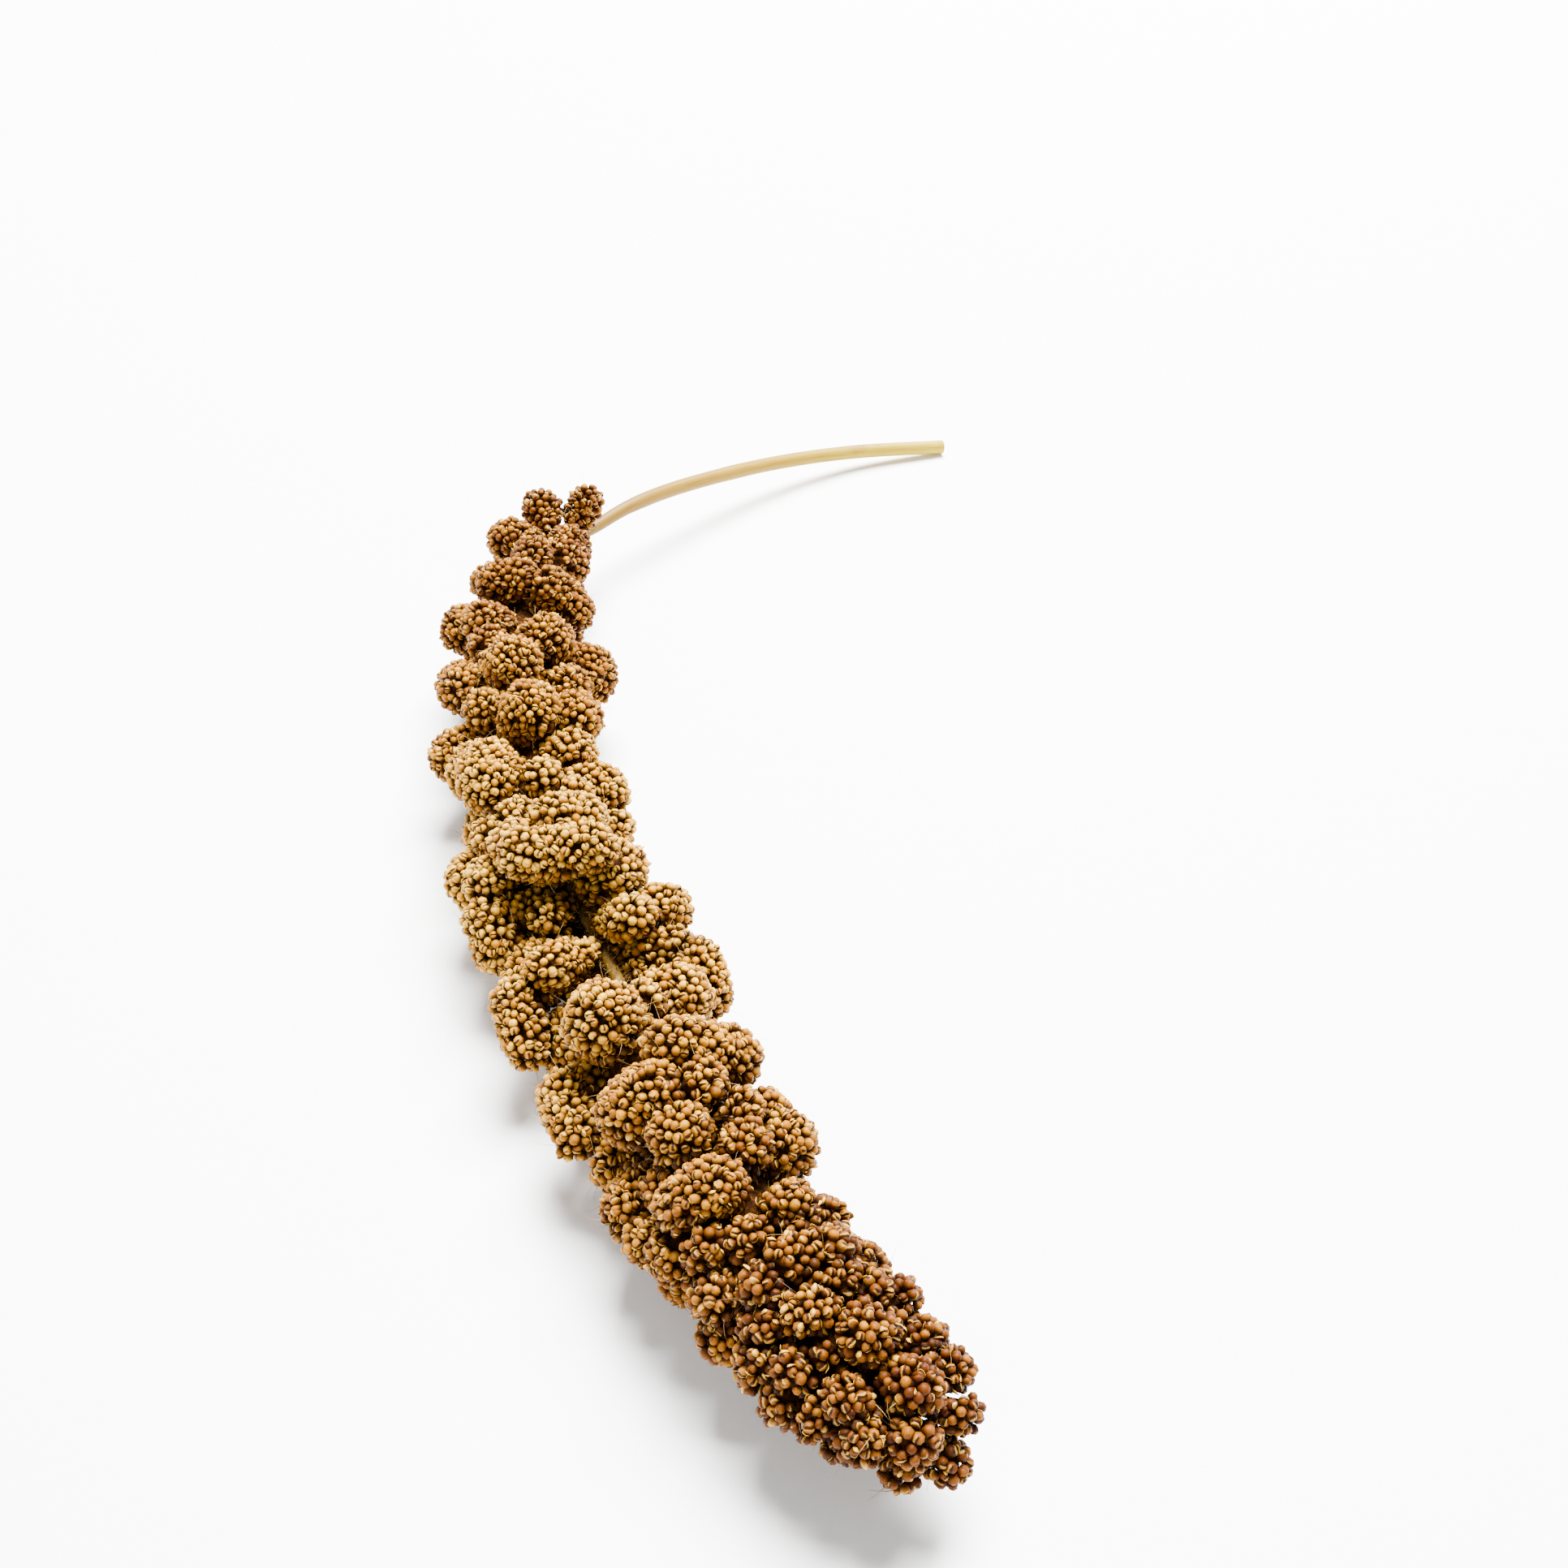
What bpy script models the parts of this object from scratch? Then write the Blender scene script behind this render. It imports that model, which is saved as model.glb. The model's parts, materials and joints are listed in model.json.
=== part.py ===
"""A dried millet seed head with a length of its cut stem, lying down as picked.

Foxtail millet carries its grain on one long drooping spike. A thin hairy stalk runs through
the middle, and short side branches, each packed all round with round grains, stand out from it
as lobes the size of a fingertip. The lobes lean towards the tip. The head rests on its
underside, and the bare stem leaves its thick end in a low arch and comes down on its cut end.

Units are metres and +Z is up. The tables below are in millimetres and degrees.
"""
import math
import random

import bmesh
import bpy
from mathutils import Vector

MM = 0.001

# The line that the stalk follows, from the head's tip to the cut end of the stem:
# across, along and up.
STALK_LINE = [
    (-27, -160, 14.5), (-31, -153, 16), (-35.5, -144, 17), (-43.5, -122, 18), (-50.5, -97, 18.5),
    (-55.5, -71, 18.5), (-59, -46, 18.5), (-62.5, -20, 18.5), (-63.5, 4, 18.5), (-62.5, 27, 18.5),
    (-60, 53, 18), (-56, 76, 17.5), (-48, 101, 17), (-36.5, 118, 17), (-28, 124, 17),
    (-16, 131.5, 17.5), (2, 142, 15), (29, 154.3, 10.3), (56, 161, 6.3), (84.5, 161.6, 3.4)]
LINE_STEPS = 12                 # samples between two of those points
MIDDLE = (-0.8, -1.25, 1.3)       # what becomes the origin: the head has sunk onto its lower lobes

# Stations are distances along the stalk from the head's tip.
STALK_START = 14                # the stalk's thin end, hidden in the tip
STALK_RADII = [(14, 0.9), (60, 1.15), (150, 1.35), (285, 1.6), (300, 1.69), (325, 2), (422, 1.95)]
STALK_SWAY = [(95, 0), (120, 2.8), (150, 2.8), (175, 0)]   # to the right, in the bare gap
STALK_SIDES = 10
STALK_STEP = 8
CLEARANCE = 0.3                 # between the stalk and the head that grows round it

# The core that carries the lobes: station, radius, and how far its middle drops under the stalk.
# It thins to a saddle under the stalk in the bare gap, where no lobe grows on the upper side.
CORE = [(6, 4, 0), (20, 8, 0), (45, 10.5, 0), (108, 10.5, 0), (118, 6.5, 7), (147, 6.5, 7),
        (156, 10.5, 0), (240, 10, 0), (272, 7, 0), (286, 3.4, 0)]
CORE_SIDES = 8

# How far the tips of the lobes reach from the stalk, along the head.
REACH = [(0, 9.5), (8, 12.5), (25, 16.5), (50, 19), (80, 20), (160, 20), (215, 19.5), (245, 18),
         (270, 15.5), (285, 13), (300, 10)]

# Lobes on the upper side, as they grew: station and angle of the lobe's middle (0 is up and
# 90 is right, seen from the tip), reach, thickness, and for a long lobe how far it runs and
# which way (0 is towards the tip and 90 is to the right).
UPPER_LOBES = [
    (-2, -5, 9, 8, 2, 0), (2.5, 42, 11.5, 8, 2, 0), (4, -33, 13.5, 9, 2, 0),
    (3, -78, 11, 7, 2, 0), (8, 50, 15, 9.5, 2, 0), (8.3, 0, 15.5, 10, 2, 0),
    (10, -60, 16, 10, 2, 0), (13.6, -45, 16.5, 9, 2, 0), (14.5, 50, 15.5, 9.5, 3, 60),
    (13, -88, 14.5, 8, 2, 0), (16, -74, 17, 9, 2, 0), (18, -7, 18, 10.5, 3, 80),
    (19.5, 26, 13.5, 8, 4, 60), (22.5, -57, 18, 9.5, 2, 0), (21.5, -80, 18.5, 10, 2, 0),
    (21.5, -35, 15.5, 8.5, 2, 0), (23.5, 58, 17, 9, 2, 0), (25, 27, 16, 8.5, 4, 70),
    (26.5, -22, 18, 11, 1, 0), (29, 6, 16, 8, 5, 80), (28, -74, 19, 11, 2, 0),
    (31, -54, 18, 10, 2, 0), (32, 60, 16.5, 9.5, 2, 0), (34.5, 2, 17.5, 10, 8, 80),
    (35, -34, 18.5, 10, 1, 0), (38, -92, 19, 10, 2, 0), (40, 8, 16, 8, 4, 80),
    (41, -68, 19, 10, 2, 0), (42, 38, 17, 9.5, 3, 60), (43.5, -32, 17.5, 9, 3, 80),
    (44, 56, 16, 9.5, 3, 60), (45, 13, 17.5, 10, 4, 70), (48, -56, 19, 11, 3, 60),
    (53, -76, 20, 12, 2, 0), (54, -33, 20.5, 12, 6, 80), (60, 52, 20.5, 14, 2, 90),
    (60, 12, 18.5, 10.5, 3, 80), (60, -90, 20.5, 11, 2, 0), (63.5, -64, 16.5, 10, 2, 0),
    (67, -28, 20, 12, 4, 90), (67, 26, 18.5, 10, 3, 90), (68, -92, 21, 12.5, 4, 0),
    (69, 58, 19.5, 10, 4, 90), (74, 88, 18.5, 11, 2, 0), (75, 4, 19.5, 11, 3, 80),
    (77, -31, 21, 13.5, 5, 85), (83, 28, 20.5, 11.5, 12, 80), (91, -94, 22, 10.5, 9.5, 0),
    (92, 84, 18, 11, 2, 0), (99, -36, 21.5, 15.5, 4, 80), (103, 17, 14.5, 8, 2, 0),
    (114, 92, 24, 10.5, 7, 35), (116, -92, 23.5, 10, 9, -30), (122, 84, 21, 10.5, 2, 0),
    (122.5, -60, 17.5, 10, 2, 0), (128, 50, 17, 10, 2, 0), (132, 79, 23.5, 11.5, 2, 0),
    (138, -52, 11.5, 8, 2, 0), (141.5, -90, 22, 11.5, 5.5, -30), (143.5, -3, 21.5, 11, 14, 72),
    (152, -72, 20.5, 12, 2, 0), (152, 98, 18, 11, 2, 0), (154.5, 16, 20.5, 10.5, 6, 88),
    (159, -88, 23, 13, 3, -60), (162, -56, 18, 10, 2, 0), (164, -28, 16, 9, 2, 0),
    (165, 86, 20, 11, 2, 0), (168, 32, 16.5, 10, 4, 80), (173, 9, 17, 9.5, 2, 0),
    (174, 72, 21.5, 14, 3, 0), (176, -38, 21.5, 13.5, 5, -10), (186, 52, 18, 12, 2, 0),
    (194, 4, 21, 14, 2, 90), (197, 50, 21, 13.5, 3, 30), (200, -88, 22, 12.5, 3, -40),
    (202, -38, 18, 10, 2, 0), (213, -9, 21, 14, 3, 60), (213, 62, 18.5, 11, 2, 0),
    (216, -62, 20, 12.5, 3, 0), (226, 26, 20, 13.5, 4, 50), (226, -28, 17.5, 10, 2, 0),
    (226, 84, 23.5, 15, 3, 20), (227, -92, 20, 12, 2, 0), (236, -40, 18.5, 11, 3, 60),
    (243, -72, 20, 12.5, 3, 0), (247, 48, 19.5, 11, 8, 85), (250, -12, 18.5, 11, 6, 90),
    (258, -50, 16.5, 10, 2, 0), (264, -1, 16.5, 11, 3, 80), (271, 50, 16.5, 13, 3, 0),
    (275, -46, 17.5, 12, 2, 0), (280, 44, 14.5, 11, 2, 0)]

# The last lobes at the thick end stand clear of the rest and point back past the stem.
BASE_LOBES = [(288, -40, 16.5, 10.5, 2, 180), (293.5, 10, 15, 9, 4, 180)]

# Lobes underneath, where nothing singles one out, follow the spiral in which branches grow.
SPIRAL_ANGLE = 137.5
SPIRAL_STEP = 0.7
SPIRAL_FROM, SPIRAL_TO = 12, 280
LOWER_THICKNESS = [(0, 9), (25, 11), (60, 13), (120, 14), (240, 14), (280, 12)]
LOWER_REACH_LOSS = 1.0          # the weight of the head presses its lower lobes flatter
OWN_ROOM = 0.84                 # share of a lobe's thickness that keeps the next one off
BARE_GAP = (104, 140, -66, 48)  # stations and angles with no lobe
SEED = 7

# A lobe leans: it leaves the stalk nearer the thick end than it stands.
LEAN = 4
TIP_LEAN = 9
TIP_ZONE = 14

# Round the bare gap the lobes start off the stalk, so that it shows there.
ROOT_OUT = [(100, 0), (112, 4.5), (148, 4.5), (158, 0)]
UPPER_ROOT = 0.6

# The grains show as raised points, larger than life, in a staggered pattern round each lobe.
SLIM_LOBE, SLIM_SIDES = 12.6, 6
LOBE_SIDES = 8
WIDE_LOBE, WIDE_SIDES = 15.5, 10
GRAIN_SPACING = 5.0
GRAIN_RISE = 0.85
GRAIN_DIP = 0.25
GRAIN_JITTER = 0.3
END_LIFTS = (math.radians(42),)  # where the rings of a round end lie, short of its pole
ROOT_SHARE = 0.55               # the lobe's girth at its root, as a share of its thickness
FULL_FROM = 0.6                 # share of its length where it reaches its full thickness
BENT_LOBE = 4.5                 # a lobe that runs this far rises first and then bends over
BEND_SHARE = 0.85

SLIVER_EDGES = (0.2, 0.5, 0.6)       # edges in the creases that are drawn together, in turn
CUT_SLIVERS = (0.05,)
SLIVERS_LEFT = 4
FLAT_FACE = 1e-9                # in square metres
TIP_OVER = 0.35                 # cosine of the most that a face may tip
FLOOR_BLOCK = 500


def along(table, station, column=1):
    """Read a value from a table of stations, straight between its rows."""
    if station <= table[0][0]:
        return table[0][column]
    for low, high in zip(table, table[1:]):
        if station <= high[0]:
            share = (station - low[0]) / (high[0] - low[0])
            return low[column] + share * (high[column] - low[column])
    return table[-1][column]


def smooth_line(points, steps):
    """A Catmull-Rom curve through the points, with the station of each sample."""
    knots = [Vector(p) - Vector(MIDDLE) for p in points]
    knots = [2 * knots[0] - knots[1]] + knots + [2 * knots[-1] - knots[-2]]
    samples = []
    for a, b, c, d in zip(knots, knots[1:], knots[2:], knots[3:]):
        for step in range(steps):
            t = step / steps
            samples.append(0.5 * (2 * b + (c - a) * t + (2 * a - 5 * b + 4 * c - d) * t * t
                                  + (3 * b - a - 3 * c + d) * t ** 3))
    samples.append(knots[-2])
    stations = [0.0]
    for p, q in zip(samples, samples[1:]):
        stations.append(stations[-1] + (q - p).length)
    return samples, stations


LINE, STATIONS = smooth_line(STALK_LINE, LINE_STEPS)


def point_at(station):
    """The point of the stalk's middle at a station, running straight on past the ends."""
    if station < 0:
        return LINE[0] + (LINE[0] - LINE[1]).normalized() * -station
    low = 0
    while low < len(STATIONS) - 2 and STATIONS[low + 1] < station:
        low += 1
    share = (station - STATIONS[low]) / (STATIONS[low + 1] - STATIONS[low])
    return LINE[low].lerp(LINE[low + 1], share)


def stalk_point(station):
    """The middle of the stalk itself, which sways off that line in the bare gap."""
    return point_at(station) + directions_at(station)[1] * along(STALK_SWAY, station)


def core_point(station):
    """The middle of the core, which drops under the stalk in the bare gap."""
    return point_at(station) - directions_at(station)[2] * along(CORE, station, 2)


def directions_at(station):
    """Towards the thick end, to the right and up, at a station."""
    ahead = (point_at(station + 1) - point_at(max(station - 1, -1))).normalized()
    right = ahead.cross(Vector((0, 0, 1))).normalized()
    return ahead, right, right.cross(ahead)


def place(station, angle, distance):
    """The point at a station, an angle round the stalk and a distance from its middle."""
    ahead, right, up = directions_at(station)
    turn = math.radians(angle)
    return point_at(station) + distance * (up * math.cos(turn) + right * math.sin(turn))


def fingers_of(lobe):
    """The straight stretches that make a lobe: start, end, and the radius at each."""
    station, angle, reach, thickness, run, turn = lobe
    ahead, right, up = directions_at(station)
    swing = math.radians(angle)
    sideways = right * math.cos(swing) - up * math.sin(swing)
    heading = math.radians(turn)
    run_way = sideways * math.sin(heading) - ahead * math.cos(heading)
    middle = place(station, angle, reach - thickness / 2)
    lean = LEAN if station > TIP_ZONE else TIP_LEAN
    if turn == 180:
        lean = -LEAN
    root_station = station + lean + run / 2 * math.cos(heading)
    root_out = along(ROOT_OUT, station) * (1 if abs(angle) > 90 else UPPER_ROOT)
    root = stalk_point(root_station) + place(station, angle, root_out) - point_at(station)
    bend, end = middle - run_way * run / 2, middle + run_way * run / 2
    radius = thickness / 2
    if run < BENT_LOBE:
        return [(root, end, radius * ROOT_SHARE, radius)]
    return [(root, bend, radius * ROOT_SHARE, radius * BEND_SHARE), (bend, end, radius, radius)]


def rings_of(start, end, start_radius, end_radius):
    """Distances along a finger and radii of its rings, with its two round ends."""
    length = (end - start).length
    count = max(2, round(length / GRAIN_SPACING) + 1)
    rings = [(-start_radius * math.sin(lift), start_radius * math.cos(lift)) for lift in END_LIFTS[::-1]]
    for i in range(count):
        share = i / (count - 1)
        swell = min(1, share / FULL_FROM)
        rings.append((length * share, start_radius + (end_radius - start_radius) * swell))
    rings += [(length + end_radius * math.sin(lift), end_radius * math.cos(lift)) for lift in END_LIFTS]
    return rings


def add_finger(mesh, finger, draw):
    """One stretch of grains: rings of points, every second one raised into a grain."""
    start, end, start_radius, end_radius = finger
    thickness = 2 * end_radius
    sides = SLIM_SIDES if thickness < SLIM_LOBE else WIDE_SIDES if thickness > WIDE_LOBE else LOBE_SIDES
    heading = (end - start).normalized()
    across = heading.orthogonal().normalized()
    other = heading.cross(across)
    rows = []
    for level, (distance, radius) in enumerate(rings_of(*finger)):
        row = []
        for side in range(sides):
            turn = 2 * math.pi * side / sides
            out = across * math.cos(turn) + other * math.sin(turn)
            raised = (side + level) % 2 == 0
            lift = GRAIN_RISE + draw.uniform(-GRAIN_JITTER, GRAIN_JITTER) if raised else -GRAIN_DIP
            row.append(mesh.verts.new((start + heading * distance + out * (radius + lift)) * MM))
        rows.append(row)
    for level, (low, high) in enumerate(zip(rows, rows[1:])):
        for side in range(sides):
            after = (side + 1) % sides
            a, b, c, d = low[side], low[after], high[after], high[side]
            if (side + level) % 2 == 0:
                mesh.faces.new((a, b, d))
                mesh.faces.new((b, c, d))
            else:
                mesh.faces.new((a, b, c))
                mesh.faces.new((a, c, d))
    first = mesh.verts.new((start - heading * (start_radius + GRAIN_DIP)) * MM)
    last = mesh.verts.new((end + heading * (end_radius + GRAIN_RISE / 2)) * MM)
    for side in range(sides):
        after = (side + 1) % sides
        mesh.faces.new((rows[0][after], rows[0][side], first))
        mesh.faces.new((rows[-1][side], rows[-1][after], last))


def add_tube(mesh, stations, sides, radius_at, centre_at):
    """A closed tube through the given centres."""
    rows = []
    for station in stations:
        ahead, right, up = directions_at(station)
        centre = centre_at(station)
        row = []
        for side in range(sides):
            turn = 2 * math.pi * (side + 0.5) / sides
            out = up * math.cos(turn) - right * math.sin(turn)
            row.append(mesh.verts.new((centre + out * radius_at(station)) * MM))
        rows.append(row)
    for low, high in zip(rows, rows[1:]):
        for side in range(sides):
            after = (side + 1) % sides
            mesh.faces.new((low[side], low[after], high[after], high[side]))
    mesh.faces.new(list(reversed(rows[0])))
    mesh.faces.new(rows[-1])


def new_object(name, fill):
    """An object whose mesh the given function fills."""
    data = bpy.data.meshes.new(name)
    mesh = bmesh.new()
    fill(mesh)
    bmesh.ops.recalc_face_normals(mesh, faces=mesh.faces)
    mesh.to_mesh(data)
    mesh.free()
    piece = bpy.data.objects.new(name, data)
    bpy.context.scene.collection.objects.link(piece)
    return piece


def apply_modifiers(piece):
    """Keep the mesh that the modifiers make, and drop them."""
    bpy.context.view_layer.update()
    evaluated = piece.evaluated_get(bpy.context.evaluated_depsgraph_get())
    made = bpy.data.meshes.new_from_object(evaluated)
    piece.modifiers.clear()
    piece.data = made


def cut(piece, cutter):
    """Take the cutter's shape out of the piece."""
    boolean = piece.modifiers.new("cut", "BOOLEAN")
    boolean.operation = "DIFFERENCE"
    boolean.solver = "MANIFOLD"
    boolean.object = cutter
    apply_modifiers(piece)
    bpy.data.objects.remove(cutter)


def join_all(piece, others):
    """Fuse the other objects into the piece with one union, and remove them."""
    group = bpy.data.collections.new("lobes")
    bpy.context.scene.collection.children.link(group)
    for other in others:
        bpy.context.scene.collection.objects.unlink(other)
        group.objects.link(other)
    boolean = piece.modifiers.new("join", "BOOLEAN")
    boolean.operation = "UNION"
    boolean.solver = "MANIFOLD"
    boolean.operand_type = "COLLECTION"
    boolean.collection = group
    apply_modifiers(piece)
    for other in others:
        bpy.data.objects.remove(other)
    bpy.data.collections.remove(group)


def close_short_edges(mesh, limit):
    """Draw the ends of short edges together, where that turns no face over. Tells how many."""
    targets = {}
    touched = set()
    for edge in sorted(mesh.edges, key=lambda edge: edge.calc_length()):
        if edge.calc_length() > limit:
            break
        keep, drop = edge.verts
        near_keep = {other.other_vert(keep) for other in keep.link_edges}
        near_drop = {other.other_vert(drop) for other in drop.link_edges}
        shared = near_keep & near_drop
        if touched & (near_keep | near_drop) or len(shared) != 2:
            continue
        if any(len(other.link_edges) < 4 for other in shared):
            continue
        if any(turned_over(face, drop, keep) for face in drop.link_faces if keep not in face.verts):
            continue
        targets[drop] = keep
        touched |= near_keep | near_drop
    bmesh.ops.weld_verts(mesh, targetmap=targets)
    return len(targets)


def turned_over(face, vert, target):
    """Whether a triangle would tip far over or go flat if one of its corners moved."""
    corners = [corner.co for corner in face.verts]
    moved = [target.co if corner == vert else corner.co for corner in face.verts]
    before = (corners[1] - corners[0]).cross(corners[2] - corners[0])
    after = (moved[1] - moved[0]).cross(moved[2] - moved[0])
    return after.length < FLAT_FACE or before.normalized().dot(after.normalized()) < TIP_OVER


def clear_slivers(piece, limits):
    """Make the piece triangles, and rid its creases of the slivers that a Boolean leaves."""
    mesh = bmesh.new()
    mesh.from_mesh(piece.data)
    bmesh.ops.triangulate(mesh, faces=mesh.faces)
    for limit in limits:
        while close_short_edges(mesh, limit * MM) > SLIVERS_LEFT:
            pass
    mesh.to_mesh(piece.data)
    mesh.free()


def keep_outer_body(piece):
    """Fill sealed hollows and drop loose scraps: only the largest connected surface stays."""
    mesh = bmesh.new()
    mesh.from_mesh(piece.data)
    unseen = set(mesh.verts)
    bodies = []
    while unseen:
        stack = [unseen.pop()]
        body = set(stack)
        while stack:
            for edge in stack.pop().link_edges:
                for vert in edge.verts:
                    if vert in unseen:
                        unseen.remove(vert)
                        body.add(vert)
                        stack.append(vert)
        bodies.append(body)
    bodies.sort(key=len, reverse=True)
    for body in bodies[1:]:
        bmesh.ops.delete(mesh, geom=list(body), context="VERTS")
    mesh.to_mesh(piece.data)
    mesh.free()


def paint(piece, name, colour, roughness):
    """Give the piece one plain material."""
    material = bpy.data.materials.new(name)
    material.use_nodes = True
    shader = material.node_tree.nodes["Principled BSDF"]
    shader.inputs["Base Color"].default_value = (*colour, 1)
    shader.inputs["Roughness"].default_value = roughness
    shader.inputs["Metallic"].default_value = 0
    piece.data.materials.clear()
    piece.data.materials.append(material)


def apart(first, second):
    """The distance between the middles of two lobes."""
    one = place(first[0], first[1], first[2] - first[3] / 2)
    two = place(second[0], second[1], second[2] - second[3] / 2)
    return (one - two).length


def in_gap(station, angle):
    """Whether a place lies in the bare gap on the upper side."""
    start, stop, left, right = BARE_GAP
    return start < station < stop and left < angle < right


def all_lobes():
    """The listed lobes, and those of the spiral wherever there is room for them."""
    draw = random.Random(SEED)
    lobes = UPPER_LOBES + BASE_LOBES
    station, angle = SPIRAL_FROM, 180.0
    while station < SPIRAL_TO:
        angle = (angle + SPIRAL_ANGLE + draw.uniform(-9, 9) + 180) % 360 - 180
        thickness = along(LOWER_THICKNESS, station) * draw.uniform(0.92, 1.08)
        reach = along(REACH, station) - LOWER_REACH_LOSS + draw.uniform(-0.8, 0.8)
        run = draw.uniform(1, 4)
        lobe = (station, angle, reach, thickness, run, draw.uniform(-60, 60))
        roomy = all(apart(lobe, other) > OWN_ROOM * (thickness + other[3]) / 2 for other in lobes)
        if roomy and not in_gap(station, angle):
            lobes = lobes + [lobe]
        station += SPIRAL_STEP
    return lobes


def make_seed_head():
    """The grain lobes fused with their core, open along the stalk and flat where it lies."""
    draw = random.Random(SEED)
    stations = [row[0] for row in CORE]
    between = [(low + high) / 2 for low, high in zip(stations, stations[1:]) if high - low > 20]
    stations = sorted(stations + between)
    head = new_object("seed_head", lambda mesh: add_tube(
        mesh, stations, CORE_SIDES,
        lambda station: along(CORE, station), core_point))
    fingers = [finger for lobe in all_lobes() for finger in fingers_of(lobe)]
    join_all(head, [new_object("finger_%03d" % i, lambda mesh: add_finger(mesh, finger, draw))
                    for i, finger in enumerate(fingers)])
    keep_outer_body(head)
    clear_slivers(head, SLIVER_EDGES)
    room = CLEARANCE / math.cos(math.pi / STALK_SIDES)
    cut(head, new_object("stalk_way", lambda mesh: add_tube(
        mesh, stalk_stations(STALK_START - 2), STALK_SIDES,
        lambda station: along(STALK_RADII, station) + room, stalk_point)))
    cut(head, new_object("floor", add_floor))
    keep_outer_body(head)
    clear_slivers(head, CUT_SLIVERS)
    paint(head, "millet_grain", (0.55, 0.31, 0.09), 0.6)
    return head


def add_floor(mesh):
    """A block under the part, to flatten what the head lies on."""
    made = bmesh.ops.create_cube(mesh, size=FLOOR_BLOCK * MM)
    bmesh.ops.translate(mesh, verts=made["verts"], vec=(0, 0, -FLOOR_BLOCK * MM / 2))


def stalk_stations(start):
    """Evenly spaced stations from a start to the cut end of the stem."""
    total = STATIONS[-1]
    count = round((total - start) / STALK_STEP)
    return [start + (total - start) * i / count for i in range(count + 1)]


def make_stalk():
    """The hairy inner stalk and the bare stem, one straw-coloured piece with a clean cut."""
    stalk = new_object("stalk", lambda mesh: add_tube(
        mesh, stalk_stations(STALK_START), STALK_SIDES,
        lambda station: along(STALK_RADII, station), stalk_point))
    stalk.data.shade_smooth()
    stalk.data.set_sharp_from_angle(angle=math.radians(50))
    paint(stalk, "dry_straw", (0.58, 0.44, 0.16), 0.55)
    return stalk


for old in list(bpy.data.objects):
    bpy.data.objects.remove(old)
make_stalk()
make_seed_head()
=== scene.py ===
import json
import math
import random

import bmesh
import bpy
import numpy as np
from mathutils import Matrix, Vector, noise
from mathutils.bvhtree import BVHTree
from mathutils.kdtree import KDTree

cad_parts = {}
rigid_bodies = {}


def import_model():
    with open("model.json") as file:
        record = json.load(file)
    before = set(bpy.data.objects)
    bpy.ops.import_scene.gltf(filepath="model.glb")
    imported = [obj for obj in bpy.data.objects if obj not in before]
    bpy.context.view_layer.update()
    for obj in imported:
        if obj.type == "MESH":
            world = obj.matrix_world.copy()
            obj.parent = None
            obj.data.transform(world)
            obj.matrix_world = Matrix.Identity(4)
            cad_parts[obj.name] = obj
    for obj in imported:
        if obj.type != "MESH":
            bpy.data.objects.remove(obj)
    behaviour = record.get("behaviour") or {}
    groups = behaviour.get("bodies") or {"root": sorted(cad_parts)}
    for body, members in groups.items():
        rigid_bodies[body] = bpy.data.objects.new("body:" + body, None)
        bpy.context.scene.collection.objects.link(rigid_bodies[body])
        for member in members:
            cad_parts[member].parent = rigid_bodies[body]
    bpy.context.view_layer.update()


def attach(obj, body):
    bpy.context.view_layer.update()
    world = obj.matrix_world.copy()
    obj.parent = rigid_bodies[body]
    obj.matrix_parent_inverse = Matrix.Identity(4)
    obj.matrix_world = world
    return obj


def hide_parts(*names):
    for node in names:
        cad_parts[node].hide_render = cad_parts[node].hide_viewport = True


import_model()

# THE STALK. One dry growth, about 4 mm thick where it was cut and thinning all the way up
# through the head. It is a ribbed straw, pale with a dull sheen, cut off square at its end,
# where the brown ring of its wall stands round the white pith.
MM = 0.001
STALK_LINE = [
    (-27, -160, 14.5), (-31, -153, 16), (-35.5, -144, 17), (-43.5, -122, 18), (-50.5, -97, 18.5),
    (-55.5, -71, 18.5), (-59, -46, 18.5), (-62.5, -20, 18.5), (-63.5, 4, 18.5), (-62.5, 27, 18.5),
    (-60, 53, 18), (-56, 76, 17.5), (-48, 101, 17), (-36.5, 118, 17), (-28, 124, 17),
    (-16, 131.5, 17.5), (2, 142, 15), (29, 154.3, 10.3), (56, 161, 6.3), (84.5, 161.6, 3.4)]
LINE_STEPS = 12                 # samples between two points of the line
MIDDLE = (-0.8, -1.25, 1.3)     # where the part's own origin lies on the line's axes
# Stations are millimetres along the line from the head's tip. Tables of them give a value at each.
STALK_START = 14                # the stalk's thin end, hidden in the tip
STALK_RADII = [(14, 0.9), (60, 1.15), (150, 1.35), (285, 1.6), (300, 1.69), (325, 2),
               (422, 1.95)]
STALK_SWAY = [(95, 0), (120, 2.8), (150, 2.8), (175, 0)]    # to the right, in the bare gap
STALK_STEP = 2.5
STALK_SIDES = 28
RIBS_FROM, STRAW_RIBS, RIB_HEIGHT = 280, 14, 0.035    # only the bare stem is ribbed
SWELLINGS = [(317, 0.10, 5), (352, 0.07, 4)]      # station, height and half length of faint joints
CUT_RINGS = [(0.12, 0.0), (0.34, 0.12), (0.55, 0.05)]       # inset and depth, from the wall inwards
SHARP_ANGLE = 50                # a crease sharper than this many degrees stays crisp
RIPE_FROM, RIPE_TO = 285, 422   # the stretch over which the straw turns yellow
FIBRES_ROUND = 9                # fibres to a stalk's radius, round it
FIBRES_ALONG, STAINS, PITH_CELLS = 0.12, 0.095, 4.5         # each to a millimetre


def along(table, station, column=1):
    """Read a value from a table of stations, straight between its rows."""
    if station <= table[0][0]:
        return table[0][column]
    for low, high in zip(table, table[1:]):
        if station <= high[0]:
            share = (station - low[0]) / (high[0] - low[0])
            return low[column] + share * (high[column] - low[column])
    return table[-1][column]


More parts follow.
